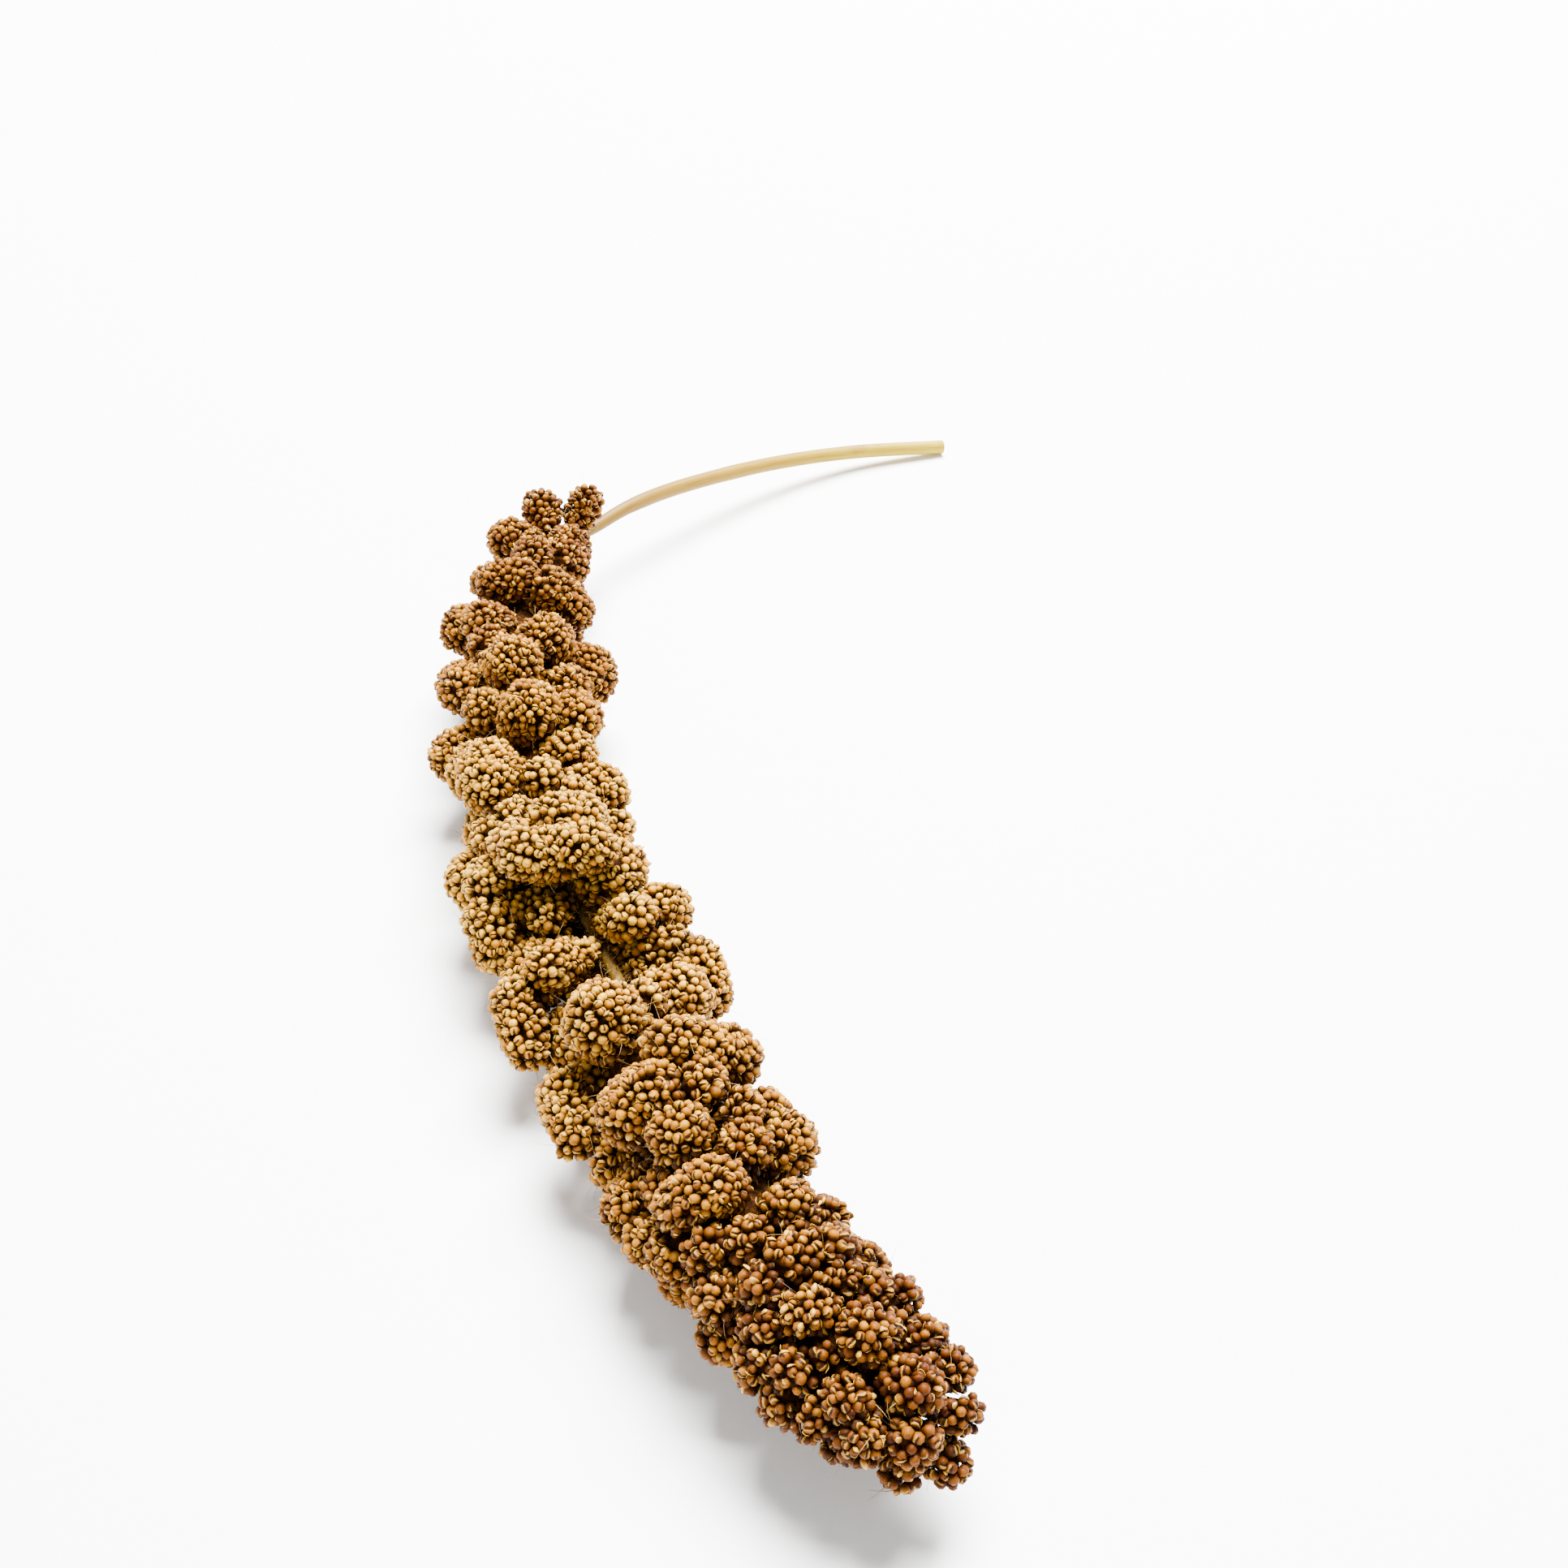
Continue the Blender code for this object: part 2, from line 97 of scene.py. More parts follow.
def smooth_line(points, steps):
    """A Catmull-Rom curve through the points, with the station of each sample."""
    knots = [Vector(p) - Vector(MIDDLE) for p in points]
    knots = [2 * knots[0] - knots[1]] + knots + [2 * knots[-1] - knots[-2]]
    samples = []
    for a, b, c, d in zip(knots, knots[1:], knots[2:], knots[3:]):
        for step in range(steps):
            t = step / steps
            samples.append(0.5 * (2 * b + (c - a) * t + (2 * a - 5 * b + 4 * c - d) * t * t
                                  + (3 * b - a - 3 * c + d) * t ** 3))
    samples.append(knots[-2])
    stations = [0.0]
    for p, q in zip(samples, samples[1:]):
        stations.append(stations[-1] + (q - p).length)
    return samples, stations


LINE, STATIONS = smooth_line(STALK_LINE, LINE_STEPS)


def point_at(station):
    """The point of the stalk's middle at a station, running straight on past the tip."""
    if station < 0:
        return LINE[0] + (LINE[0] - LINE[1]).normalized() * -station
    low = 0
    while low < len(STATIONS) - 2 and STATIONS[low + 1] < station:
        low += 1
    share = (station - STATIONS[low]) / (STATIONS[low + 1] - STATIONS[low])
    return LINE[low].lerp(LINE[low + 1], share)


def stalk_point(station):
    """The middle of the stalk itself, which sways off that line in the bare gap."""
    return point_at(station) + directions_at(station)[1] * along(STALK_SWAY, station)


def directions_at(station):
    """Towards the thick end, to the right and up, at a station."""
    ahead = (point_at(station + 1) - point_at(max(station - 1, -1))).normalized()
    right = ahead.cross(Vector((0, 0, 1))).normalized()
    return ahead, right, right.cross(ahead)


def stalk_radius(station):
    """Half the stalk's thickness, with the faint joints of the bare straw."""
    radius = along(STALK_RADII, station)
    for middle, height, half in SWELLINGS:
        radius += height * math.exp(-((station - middle) / half) ** 2)
    return radius


def add(tree, kind, feeds=None, **settings):
    """Add a node with its settings, and feed its sockets from values, sockets or other nodes."""
    node = tree.nodes.new(kind)
    for name, value in settings.items():
        setattr(node, name, value)
    for key, value in (feeds or {}).items():
        if isinstance(value, bpy.types.Node):
            value = value.outputs[0]
        if isinstance(value, bpy.types.NodeSocket):
            tree.links.new(value, node.inputs[key])
        else:
            node.inputs[key].default_value = value
    return node


def linear(hex_colour):
    """A hex colour as screens show it, turned to the linear values that a shader takes."""
    parts = [int(hex_colour[i:i + 2], 16) / 255 for i in (1, 3, 5)]
    rgb = [c / 12.92 if c <= 0.04045 else ((c + 0.055) / 1.055) ** 2.4 for c in parts]
    return (*rgb, 1.0)


def new_material(name, **shader_values):
    """A material with a Principled shader, and the values that are the same all over it."""
    material = bpy.data.materials.new(name)
    material.use_nodes = True
    shader = material.node_tree.nodes["Principled BSDF"]
    for key, value in shader_values.items():
        shader.inputs[key.replace("_", " ")].default_value = value
    return material, material.node_tree, shader


def set_ramp(ramp, stops):
    """Give a colour ramp its stops, as pairs of place and colour."""
    elements = ramp.color_ramp.elements
    for place, colour in stops[1:-1]:
        elements.new(place).color = linear(colour)
    for end, (place, colour) in ((0, stops[0]), (len(stops) - 1, stops[-1])):
        elements[end].position, elements[end].color = place, linear(colour)


def new_mesh(name, mesh):
    """Turn a working mesh into the data of an object, and let go of it."""
    data = bpy.data.meshes.new(name)
    mesh.to_mesh(data)
    mesh.free()
    return data


def new_piece(name, data):
    """An object at the origin that holds the mesh."""
    piece = bpy.data.objects.new(name, data)
    bpy.context.scene.collection.objects.link(piece)
    return piece


def new_tree(name, inputs):
    """An empty Geometry Nodes tree with one geometry through it and the named inputs."""
    tree = bpy.data.node_groups.new(name, "GeometryNodeTree")
    tree.interface.new_socket("Geometry", in_out="OUTPUT", socket_type="NodeSocketGeometry")
    tree.interface.new_socket("Geometry", in_out="INPUT", socket_type="NodeSocketGeometry")
    for label, kind in inputs:
        tree.interface.new_socket(label, in_out="INPUT", socket_type="NodeSocket" + kind)
    return tree, tree.nodes.new("NodeGroupInput").outputs, tree.nodes.new("NodeGroupOutput").inputs


def grow(piece, tree, values):
    """Run the tree on the piece with the given inputs, and keep the plain mesh it makes."""
    modifier = piece.modifiers.new(tree.name, "NODES")
    modifier.node_group = tree
    for item in tree.interface.items_tree:
        if item.in_out == "INPUT" and item.name in values:
            modifier[item.identifier] = values[item.name]
    bpy.context.view_layer.update()
    evaluated = piece.evaluated_get(bpy.context.evaluated_depsgraph_get())
    made = bpy.data.meshes.new_from_object(evaluated)
    piece.modifiers.clear()
    piece.data = made
    return piece


# dry straw: a grass stem that has lost its green, with a waxed skin over lengthwise fibres.
# It is yellow towards the cut, browner towards the head, and has a few brown stains.
straw, nodes, shader = new_material("dry_straw", Roughness=0.5, IOR=1.5, Specular_IOR_Level=0.15)
place = add(nodes, "ShaderNodeAttribute", attribute_name="straw_place").outputs["Vector"]
spot = add(nodes, "ShaderNodeTexCoord").outputs["Object"]
fibre_count = (FIBRES_ROUND, FIBRES_ROUND, FIBRES_ALONG / MM)
fibre_place = add(nodes, "ShaderNodeVectorMath", {0: place, 1: fibre_count}, operation="MULTIPLY")
fibres = add(nodes, "ShaderNodeTexNoise", {"Vector": fibre_place, "Scale": 1, "Detail": 4})
stains = add(nodes, "ShaderNodeTexNoise", {"Vector": spot, "Scale": STAINS / MM, "Detail": 3})
way = add(nodes, "ShaderNodeSeparateXYZ", {0: place})
ripeness = add(nodes, "ShaderNodeMapRange",
               {"Value": way.outputs["Z"], "From Min": RIPE_FROM * MM, "From Max": RIPE_TO * MM})
length_colour = add(nodes, "ShaderNodeValToRGB", {"Fac": ripeness})
set_ramp(length_colour, [(0, "#6A5014"), (0.25, "#785C0C"), (0.6, "#8A7000"),
                         (0.85, "#9C8600"), (1, "#A89408")])
fibre_colour = add(nodes, "ShaderNodeValToRGB", {"Fac": fibres.outputs["Fac"]})
set_ramp(fibre_colour, [(0.3, "#B5925C"), (0.5, "#F3E6C4"), (0.7, "#FFFFF0")])
streaked = add(nodes, "ShaderNodeMix", {0: 0.55, 6: length_colour, 7: fibre_colour},
               data_type="RGBA", blend_type="MULTIPLY")
stain_share = add(nodes, "ShaderNodeMapRange", {
    "Value": stains.outputs["Fac"], "From Min": 0.6, "From Max": 0.72, "To Max": 0.55})
stained = add(nodes, "ShaderNodeMix",
              {0: stain_share, 6: streaked.outputs[2], 7: linear("#6E4A1E")}, data_type="RGBA")
nodes.links.new(stained.outputs[2], shader.inputs["Base Color"])
fibre_relief = add(nodes, "ShaderNodeBump",
                   {"Height": fibres.outputs["Fac"], "Strength": 0.35, "Distance": 0.06 * MM})
nodes.links.new(fibre_relief.outputs[0], shader.inputs["Normal"])

# straw pith: the soft dry foam inside a stem, matt and cream, with browner walls to its cells
pith, nodes, shader = new_material("straw_pith", Roughness=0.9)
spot = add(nodes, "ShaderNodeTexCoord").outputs["Object"]
cells = add(nodes, "ShaderNodeTexVoronoi", {"Vector": spot, "Scale": PITH_CELLS / MM})
pith_colour = add(nodes, "ShaderNodeValToRGB", {"Fac": cells.outputs["Distance"]})
set_ramp(pith_colour, [(0.0, "#EFE6B8"), (0.6, "#C9B575"), (1, "#A68A4C")])
nodes.links.new(pith_colour.outputs[0], shader.inputs["Base Color"])

mesh = bmesh.new()
straw_place = mesh.verts.layers.float_vector.new("straw_place")
total = STATIONS[-1]
ring_count = round((total - STALK_START) / STALK_STEP)
rows = []
for i in range(ring_count + 1):
    station = STALK_START + (total - STALK_START) * i / ring_count
    ahead, right, up = directions_at(station)
    row = []
    for side in range(STALK_SIDES):
        turn = 2 * math.pi * side / STALK_SIDES
        rib = RIB_HEIGHT * math.cos(STRAW_RIBS * turn) if station > RIBS_FROM else 0
        out = up * math.cos(turn) - right * math.sin(turn)
        vert = mesh.verts.new((stalk_point(station) + out * (stalk_radius(station) + rib)) * MM)
        vert[straw_place] = (math.cos(turn), math.sin(turn), station * MM)
        row.append(vert)
    rows.append(row)
for low, high in zip(rows, rows[1:]):
    for side in range(STALK_SIDES):
        after = (side + 1) % STALK_SIDES
        mesh.faces.new((low[side], low[after], high[after], high[side]))
mesh.faces.new(list(reversed(rows[0])))
cut_end = mesh.faces.new(rows[-1])
mesh.normal_update()
heading = directions_at(total)[0] * MM
for inset, depth in CUT_RINGS:
    bmesh.ops.inset_region(mesh, faces=[cut_end], thickness=inset * MM, use_even_offset=True)
    bmesh.ops.translate(mesh, verts=list(cut_end.verts), vec=-heading * depth)
    cut_end.material_index = 1
bmesh.ops.poke(mesh, faces=[cut_end])
data = new_mesh("straw_stalk", mesh)
data.shade_smooth()
data.set_sharp_from_angle(angle=math.radians(SHARP_ANGLE))
data.materials.append(straw)
data.materials.append(pith)
stalk = new_piece("straw_stalk", data)
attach(stalk, "root")
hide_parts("stalk")

# THE LOBES. Side branches of the stalk, each a finger-tip of packed grain that leans towards
# the tip of the head. Those in sight are placed as they grew, the rest follow the spiral in
# which a grass sets its branches. Inside, chaff and short branchlets fill them, coloured near
# black brown as painted shade.
CORE = [(6, 4, 0), (20, 8, 0), (45, 10.5, 0), (108, 10.5, 0), (118, 6.5, 7), (147, 6.5, 7),
        (156, 10.5, 0), (240, 10, 0), (272, 7, 0), (286, 3.4, 0)]
CORE_UNDER = 1.2                # how far the chaff of the core lies under the core's surface
REACH = [(0, 9.5), (8, 12.5), (25, 16.5), (50, 19), (80, 20), (160, 20), (215, 19.5), (245, 18),
         (270, 15.5), (285, 13), (300, 10)]
# Each lobe: station, angle round the stalk (0 up, 90 right), reach, thickness, and for a long
# lobe how far and which way it runs (0 to the tip, 90 across).
UPPER_LOBES = [
    (-2, -5, 9, 8, 2, 0), (2.5, 42, 11.5, 8, 2, 0), (4, -33, 13.5, 9, 2, 0),
    (3, -78, 11, 7, 2, 0), (8, 50, 15, 9.5, 2, 0), (8.3, 0, 15.5, 10, 2, 0),
    (10, -60, 16, 10, 2, 0), (13.6, -45, 16.5, 9, 2, 0), (14.5, 50, 15.5, 9.5, 3, 60),
    (13, -88, 14.5, 8, 2, 0), (16, -74, 17, 9, 2, 0), (18, -7, 18, 10.5, 3, 80),
    (19.5, 26, 13.5, 8, 4, 60), (22.5, -57, 18, 9.5, 2, 0), (21.5, -80, 18.5, 10, 2, 0),
    (21.5, -35, 15.5, 8.5, 2, 0), (23.5, 58, 17, 9, 2, 0), (25, 27, 16, 8.5, 4, 70),
    (26.5, -22, 18, 11, 1, 0), (29, 6, 16, 8, 5, 80), (28, -74, 19, 11, 2, 0),
    (31, -54, 18, 10, 2, 0), (32, 60, 16.5, 9.5, 2, 0), (34.5, 2, 17.5, 10, 8, 80),
    (35, -34, 18.5, 10, 1, 0), (38, -92, 19, 10, 2, 0), (40, 8, 16, 8, 4, 80),
    (41, -68, 19, 10, 2, 0), (42, 38, 17, 9.5, 3, 60), (43.5, -32, 17.5, 9, 3, 80),
    (44, 56, 16, 9.5, 3, 60), (45, 13, 17.5, 10, 4, 70), (48, -56, 19, 11, 3, 60),
    (53, -76, 20, 12, 2, 0), (54, -33, 20.5, 12, 6, 80), (60, 52, 20.5, 14, 2, 90),
    (60, 12, 18.5, 10.5, 3, 80), (60, -90, 20.5, 11, 2, 0), (63.5, -64, 16.5, 10, 2, 0),
    (67, -28, 20, 12, 4, 90), (67, 26, 18.5, 10, 3, 90), (68, -92, 21, 12.5, 4, 0),
    (69, 58, 19.5, 10, 4, 90), (74, 88, 18.5, 11, 2, 0), (75, 4, 19.5, 11, 3, 80),
    (77, -31, 21, 13.5, 5, 85), (83, 28, 20.5, 11.5, 12, 80), (91, -94, 22, 10.5, 9.5, 0),
    (92, 84, 18, 11, 2, 0), (99, -36, 21.5, 15.5, 4, 80), (103, 17, 14.5, 8, 2, 0),
    (114, 92, 24, 10.5, 7, 35), (116, -92, 23.5, 10, 9, -30), (122, 84, 21, 10.5, 2, 0),
    (122.5, -60, 17.5, 10, 2, 0), (128, 50, 17, 10, 2, 0), (132, 79, 23.5, 11.5, 2, 0),
    (138, -52, 11.5, 8, 2, 0), (141.5, -90, 22, 11.5, 5.5, -30), (143.5, -3, 21.5, 11, 14, 72),
    (152, -72, 20.5, 12, 2, 0), (152, 98, 18, 11, 2, 0), (154.5, 16, 20.5, 10.5, 6, 88),
    (159, -88, 23, 13, 3, -60), (162, -56, 18, 10, 2, 0), (164, -28, 16, 9, 2, 0),
    (165, 86, 20, 11, 2, 0), (168, 32, 16.5, 10, 4, 80), (173, 9, 17, 9.5, 2, 0),
    (174, 72, 21.5, 14, 3, 0), (176, -38, 21.5, 13.5, 5, -10), (186, 52, 18, 12, 2, 0),
    (194, 4, 21, 14, 2, 90), (197, 50, 21, 13.5, 3, 30), (200, -88, 22, 12.5, 3, -40),
    (202, -38, 18, 10, 2, 0), (213, -9, 21, 14, 3, 60), (213, 62, 18.5, 11, 2, 0),
    (216, -62, 20, 12.5, 3, 0), (226, 26, 20, 13.5, 4, 50), (226, -28, 17.5, 10, 2, 0),
    (226, 84, 23.5, 15, 3, 20), (227, -92, 20, 12, 2, 0), (236, -40, 18.5, 11, 3, 60),
    (243, -72, 20, 12.5, 3, 0), (247, 48, 19.5, 11, 8, 85), (250, -12, 18.5, 11, 6, 90),
    (258, -50, 16.5, 10, 2, 0), (264, -1, 16.5, 11, 3, 80), (271, 50, 16.5, 13, 3, 0),
    (275, -46, 17.5, 12, 2, 0), (280, 44, 14.5, 11, 2, 0)]
BASE_LOBES = [(288, -40, 16.5, 10.5, 2, 180), (293.5, 10, 15, 9, 4, 180)]
SPIRAL_ANGLE = 137.5
SPIRAL_STEP = 0.7
SPIRAL_FROM, SPIRAL_TO = 12, 280
SPIRAL_WANDER, LOWER_SIZES, REACH_SPREAD = 9, (0.92, 1.08), 0.8
LOWER_RUNS, LOWER_TURN = (1, 4), 60
LOWER_THICKNESS = [(0, 9), (25, 11), (60, 13), (120, 14), (240, 14), (280, 12)]
LOWER_REACH_LOSS = 1.0
OWN_ROOM = 0.84                 # how close two lobes stand, in their own thickness
BARE_GAP = (104, 140, -66, 48)  # stations and angles between which nothing grows
LOBE_SEED = 7
LEAN, TIP_LEAN, TIP_ZONE = 4, 9, 14     # how far nearer the thick end a lobe's root is
ROOT_OUT = [(100, 0), (112, 4.5), (148, 4.5), (158, 0)]     # how far off the stalk lobes start
UPPER_ROOT = 0.6                # lobes on the upper side start nearer to it, by this share
ROOT_SHARE = 0.55               # a lobe's thickness at its root, as a share of its full one
FULL_FROM = 0.6                 # a lobe is full from this share of its length
BENT_LOBE, BEND_SHARE = 4.5, 0.85       # a lobe that runs this far bends, and is thinner there
CHAFF_UNDER = 1.9               # the chaff lies this far under the lobe's surface
CHAFF_SIDES, THINNEST_RING = 8, 0.3
CHAFF_BITS = 0.9                # to a millimetre


def place_at(station, angle, distance):
    """The point at a station, an angle round the stalk and a distance from its middle."""
    ahead, right, up = directions_at(station)
    turn = math.radians(angle)
    return point_at(station) + distance * (up * math.cos(turn) + right * math.sin(turn))


def fingers_of(lobe):
    """The straight stretches that make a lobe: start, end, and the radius at each."""
    station, angle, reach, thickness, run, turn = lobe
    ahead, right, up = directions_at(station)
    swing = math.radians(angle)
    sideways = right * math.cos(swing) - up * math.sin(swing)
    heading = math.radians(turn)
    run_way = sideways * math.sin(heading) - ahead * math.cos(heading)
    middle = place_at(station, angle, reach - thickness / 2)
    lean = LEAN if station > TIP_ZONE else TIP_LEAN
    if turn == 180:
        lean = -LEAN
    root_station = station + lean + run / 2 * math.cos(heading)
    root_out = along(ROOT_OUT, station) * (1 if abs(angle) > 90 else UPPER_ROOT)
    root = stalk_point(root_station) + place_at(station, angle, root_out) - point_at(station)
    bend, end = middle - run_way * run / 2, middle + run_way * run / 2
    radius = thickness / 2
    if run < BENT_LOBE:
        return [(root, end, radius * ROOT_SHARE, radius)]
    return [(root, bend, radius * ROOT_SHARE, radius * BEND_SHARE), (bend, end, radius, radius)]


def apart(first, second):
    """The distance between the middles of two lobes."""
    one = place_at(first[0], first[1], first[2] - first[3] / 2)
    two = place_at(second[0], second[1], second[2] - second[3] / 2)
    return (one - two).length


def in_gap(station, angle):
    """Whether a place lies in the bare gap on the upper side."""
    start, stop, left, right = BARE_GAP
    return start < station < stop and left < angle < right


def all_lobes():
    """The listed lobes, and those of the spiral wherever there is room for them."""
    draw = random.Random(LOBE_SEED)
    lobes = UPPER_LOBES + BASE_LOBES
    station, angle = SPIRAL_FROM, 180.0
    while station < SPIRAL_TO:
        wander = draw.uniform(-SPIRAL_WANDER, SPIRAL_WANDER)
        angle = (angle + SPIRAL_ANGLE + wander + 180) % 360 - 180
        thickness = along(LOWER_THICKNESS, station) * draw.uniform(*LOWER_SIZES)
        spread = draw.uniform(-REACH_SPREAD, REACH_SPREAD)
        reach = along(REACH, station) - LOWER_REACH_LOSS + spread
        run = draw.uniform(*LOWER_RUNS)
        lobe = (station, angle, reach, thickness, run, draw.uniform(-LOWER_TURN, LOWER_TURN))
        roomy = all(apart(lobe, other) > OWN_ROOM * (thickness + other[3]) / 2 for other in lobes)
        if roomy and not in_gap(station, angle):
            lobes = lobes + [lobe]
        station += SPIRAL_STEP
    return lobes


LOBES = all_lobes()
FINGERS = [(number, *finger) for number, lobe in enumerate(LOBES) for finger in fingers_of(lobe)]

# dry chaff: bits of husk and branchlet, matt, coloured near black brown as painted shade,
# which show only deep between the grains
chaff, nodes, shader = new_material("chaff_in_painted_shade", Roughness=0.9, Specular_IOR_Level=0.05)
spot = add(nodes, "ShaderNodeTexCoord").outputs["Object"]
bits = add(nodes, "ShaderNodeTexNoise", {"Vector": spot, "Scale": CHAFF_BITS / MM, "Detail": 4})
chaff_shade_colour = add(nodes, "ShaderNodeValToRGB", {"Fac": bits.outputs["Fac"]})
set_ramp(chaff_shade_colour, [(0.3, "#150800"), (0.55, "#2B1402"), (0.75, "#5A3208")])
nodes.links.new(chaff_shade_colour.outputs[0], shader.inputs["Base Color"])
roughened = add(nodes, "ShaderNodeBump",
                {"Height": bits.outputs["Fac"], "Strength": 0.8, "Distance": 0.4 * MM})
nodes.links.new(roughened.outputs[0], shader.inputs["Normal"])


def ringed_body(name, rings):
    """A closed round body through rings, each given by its middle, heading and radius."""
    mesh = bmesh.new()
    rows = []
    for middle, heading, radius in rings:
        across = heading.orthogonal().normalized()
        other = heading.cross(across)
        row = []
        for side in range(CHAFF_SIDES):
            turn = 2 * math.pi * side / CHAFF_SIDES
            out = radius * (across * math.cos(turn) + other * math.sin(turn))
            row.append(mesh.verts.new((middle + out) * MM))
        rows.append(row)
    for low, high in zip(rows, rows[1:]):
        for side in range(CHAFF_SIDES):
            after = (side + 1) % CHAFF_SIDES
            mesh.faces.new((low[side], low[after], high[after], high[side]))
    mesh.faces.new(list(reversed(rows[0])))
    mesh.faces.new(rows[-1])
    return new_piece(name, new_mesh(name, mesh))


def outline_of(length, start_radius, end_radius, inset):
    """A finger's outline from pole to pole, inset: rows of distance, radius and lift."""
    first, last = start_radius - inset, end_radius - inset
    rows = []
    for lift in np.linspace(-math.pi / 2, 0, 5)[:-1]:
        rows.append((first * math.sin(lift), first * math.cos(lift), lift))
    for share in np.linspace(0, 1, 7):
        radius = start_radius + (end_radius - start_radius) * min(1, share / FULL_FROM)
        rows.append((length * share, radius - inset, 0.0))
    for lift in np.linspace(0, math.pi / 2, 6)[1:]:
        rows.append((length + last * math.sin(lift), last * math.cos(lift), lift))
    return np.array(rows)


def chaff_rings(start, end, start_radius, end_radius, inset=CHAFF_UNDER):
    """The rings of a lobe's chaff, round at both ends."""
    heading = (end - start).normalized()
    rows = outline_of((end - start).length, start_radius, end_radius, inset)
    return [(start + heading * distance, heading, radius)
            for distance, radius, lift in rows.tolist() if radius > THINNEST_RING]


core_rings = []
for station, radius, drop in CORE:
    ahead, right, up = directions_at(station)
    core_rings.append((point_at(station) - up * drop, ahead, radius - CORE_UNDER))
chaff_body = ringed_body("lobe_chaff", core_rings)
group = bpy.data.collections.new("chaff_of_lobes")
bpy.context.scene.collection.children.link(group)
for number, (_, start, end, start_radius, end_radius) in enumerate(FINGERS):
    body = ringed_body("chaff_%03d" % number, chaff_rings(start, end, start_radius, end_radius))
    bpy.context.scene.collection.objects.unlink(body)
    group.objects.link(body)
fuse = chaff_body.modifiers.new("fuse", "BOOLEAN")
fuse.operation, fuse.solver = "UNION", "MANIFOLD"
fuse.operand_type, fuse.collection = "COLLECTION", group
bpy.context.view_layer.update()
fused = chaff_body.evaluated_get(bpy.context.evaluated_depsgraph_get())
data = bpy.data.meshes.new_from_object(fused)
chaff_body.modifiers.clear()
chaff_body.data = data
for body in list(group.objects):
    bpy.data.objects.remove(body)
bpy.data.collections.remove(group)
data.materials.clear()
data.materials.append(chaff)
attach(chaff_body, "root")
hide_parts("seed_head")

# THE GRAINS. More than thirteen thousand millet grains of 2 mm, each shut in its dull husk and
# packed side by side over every lobe. Each husk is two shells that meet in a slit with a pale
# lip. The grains bleach to straw up the head. Those down in the creases are painted dark brown
# as painted shade, and those that face up are painted a little paler, as painted light.
GRAIN_WIDTH = 2.04
GRAIN_ROOM = 1.55               # the closest that the middles of two grains come
TRIAL_PITCH, TRIAL_MIX = 0.7, 60    # between trial places, and how far their order is mixed
HONEYCOMB = 0.866               # the area of a place in a honeycomb, for a pitch of 1
GRAIN_SINK = 0.55               # how far a grain's middle lies under the lobe's surface
CREASE_WIDE, CREASE_DEEP, CREASE_SHADE = 1.9, 0.6, 0.72     # where one lobe meets another
GRAIN_OVERLAP = 0.55            # how far under another lobe's grains a grain may still sit
GRAIN_SHIFT = 0.11              # how far a grain has slipped out of its place
STALK_ROOM = 3.2                # from the stalk's line to the middle of a grain
CLUSTER_RELIEF, CLUSTER_SIZE = 0.5, 5.0     # clusters of grain stand out and sink in
HOLE_SIZE, UNDER_LAYER, UNDER_ROOM = 1.08, 1.1, 1.5     # second layer, seen in the first one's gaps
GRAIN_SEED = 11
GRAIN_SPREAD, GRAIN_TIP = 0.15, 0.55
GOLDEN_ANGLE = math.pi * (3 - math.sqrt(5))
FLOOR_CLEAR = 0.9               # the lowest that the middle of a grain lies over the table
PALENESS = [(0, -0.04), (30, 0.05), (55, 0.24), (95, 0.52), (130, 0.7), (170, 0.78),
            (200, 0.38), (290, 0.0)]
UPWARD_PAINTED_LIGHT = 0.08          # a grain that faces up is painted a little paler, as painted light from above
# how strong the painted shade of crease grains is, by station
CREASE_PAINTED_SHADE = [(0, 1.0), (60, 0.95), (110, 0.88), (160, 0.78), (290, 0.75)]
LOBE_SHADES = 0.1               # how far one lobe may be paler or browner than the next
SKIN_UNDER = 0.5                # the skins that shade the grains lie this far under the lobes'
SKY_RAYS, RAY_START = 24, 0.9   # directions tried from each grain, and how far out they start
OPEN_SKY, LEAST_SKY = 0.85, 0.01    # the sky over a grain in the open, and the least to be kept
UNDER_SKY = 0.6                 # the second layer gets this share of the sky that its rays find, so it is painted darker as shade
SLIT_SHARE = 0.4                # of the grains have their slit cut into the mesh
PLAIN_DEPTH, PLAIN_FACING = 0.6, -0.35      # deeper or further round than this, grains are plain
BLOTCHES, SLIT_WANDER = 1.4, 0.7            # each to a millimetre


def grain_trials():
    """Places where grains could sit, from each lobe's end to its root: middle and way out."""
    draw = np.random.default_rng(GRAIN_SEED)
    found = []
    outermost_first = sorted(FINGERS, key=lambda row: -line_tree.find(row[2])[2])
    for lobe, start, end, start_radius, end_radius in outermost_first:
        start, end = np.array(start), np.array(end)
        length = np.linalg.norm(end - start)
        heading = (end - start) / length
        across = np.array(Vector(heading).orthogonal().normalized())
        other = np.cross(heading, across)
        outline = outline_of(length, start_radius, end_radius, GRAIN_SINK)[::-1]
        steps = np.hypot(np.diff(outline[:, 0]), np.diff(outline[:, 1]))
        bands = math.pi * (outline[1:, 1] + outline[:-1, 1]) * steps
        areas = np.concatenate([[0], np.cumsum(bands)])
        count = int(areas[-1] / (HONEYCOMB * TRIAL_PITCH ** 2))
        spots = (np.arange(count) + 0.5) / count * areas[-1]
        distance, radius, lift = (np.interp(spots, areas, outline[:, k]) for k in range(3))
        turns = np.arange(count) * GOLDEN_ANGLE + draw.uniform(0, 0.5, count)
        ring = np.outer(np.cos(turns), across) + np.outer(np.sin(turns), other)
        facing = ring * np.cos(lift)[:, None] + heading * np.sin(lift)[:, None]
        middles = start + np.outer(distance, heading) + ring * radius[:, None]
        order = np.argsort(np.arange(count) + draw.uniform(0, TRIAL_MIX, count))
        found.append(np.hstack([middles, facing, np.full((count, 1), lobe)])[order])
    return np.vstack(found)


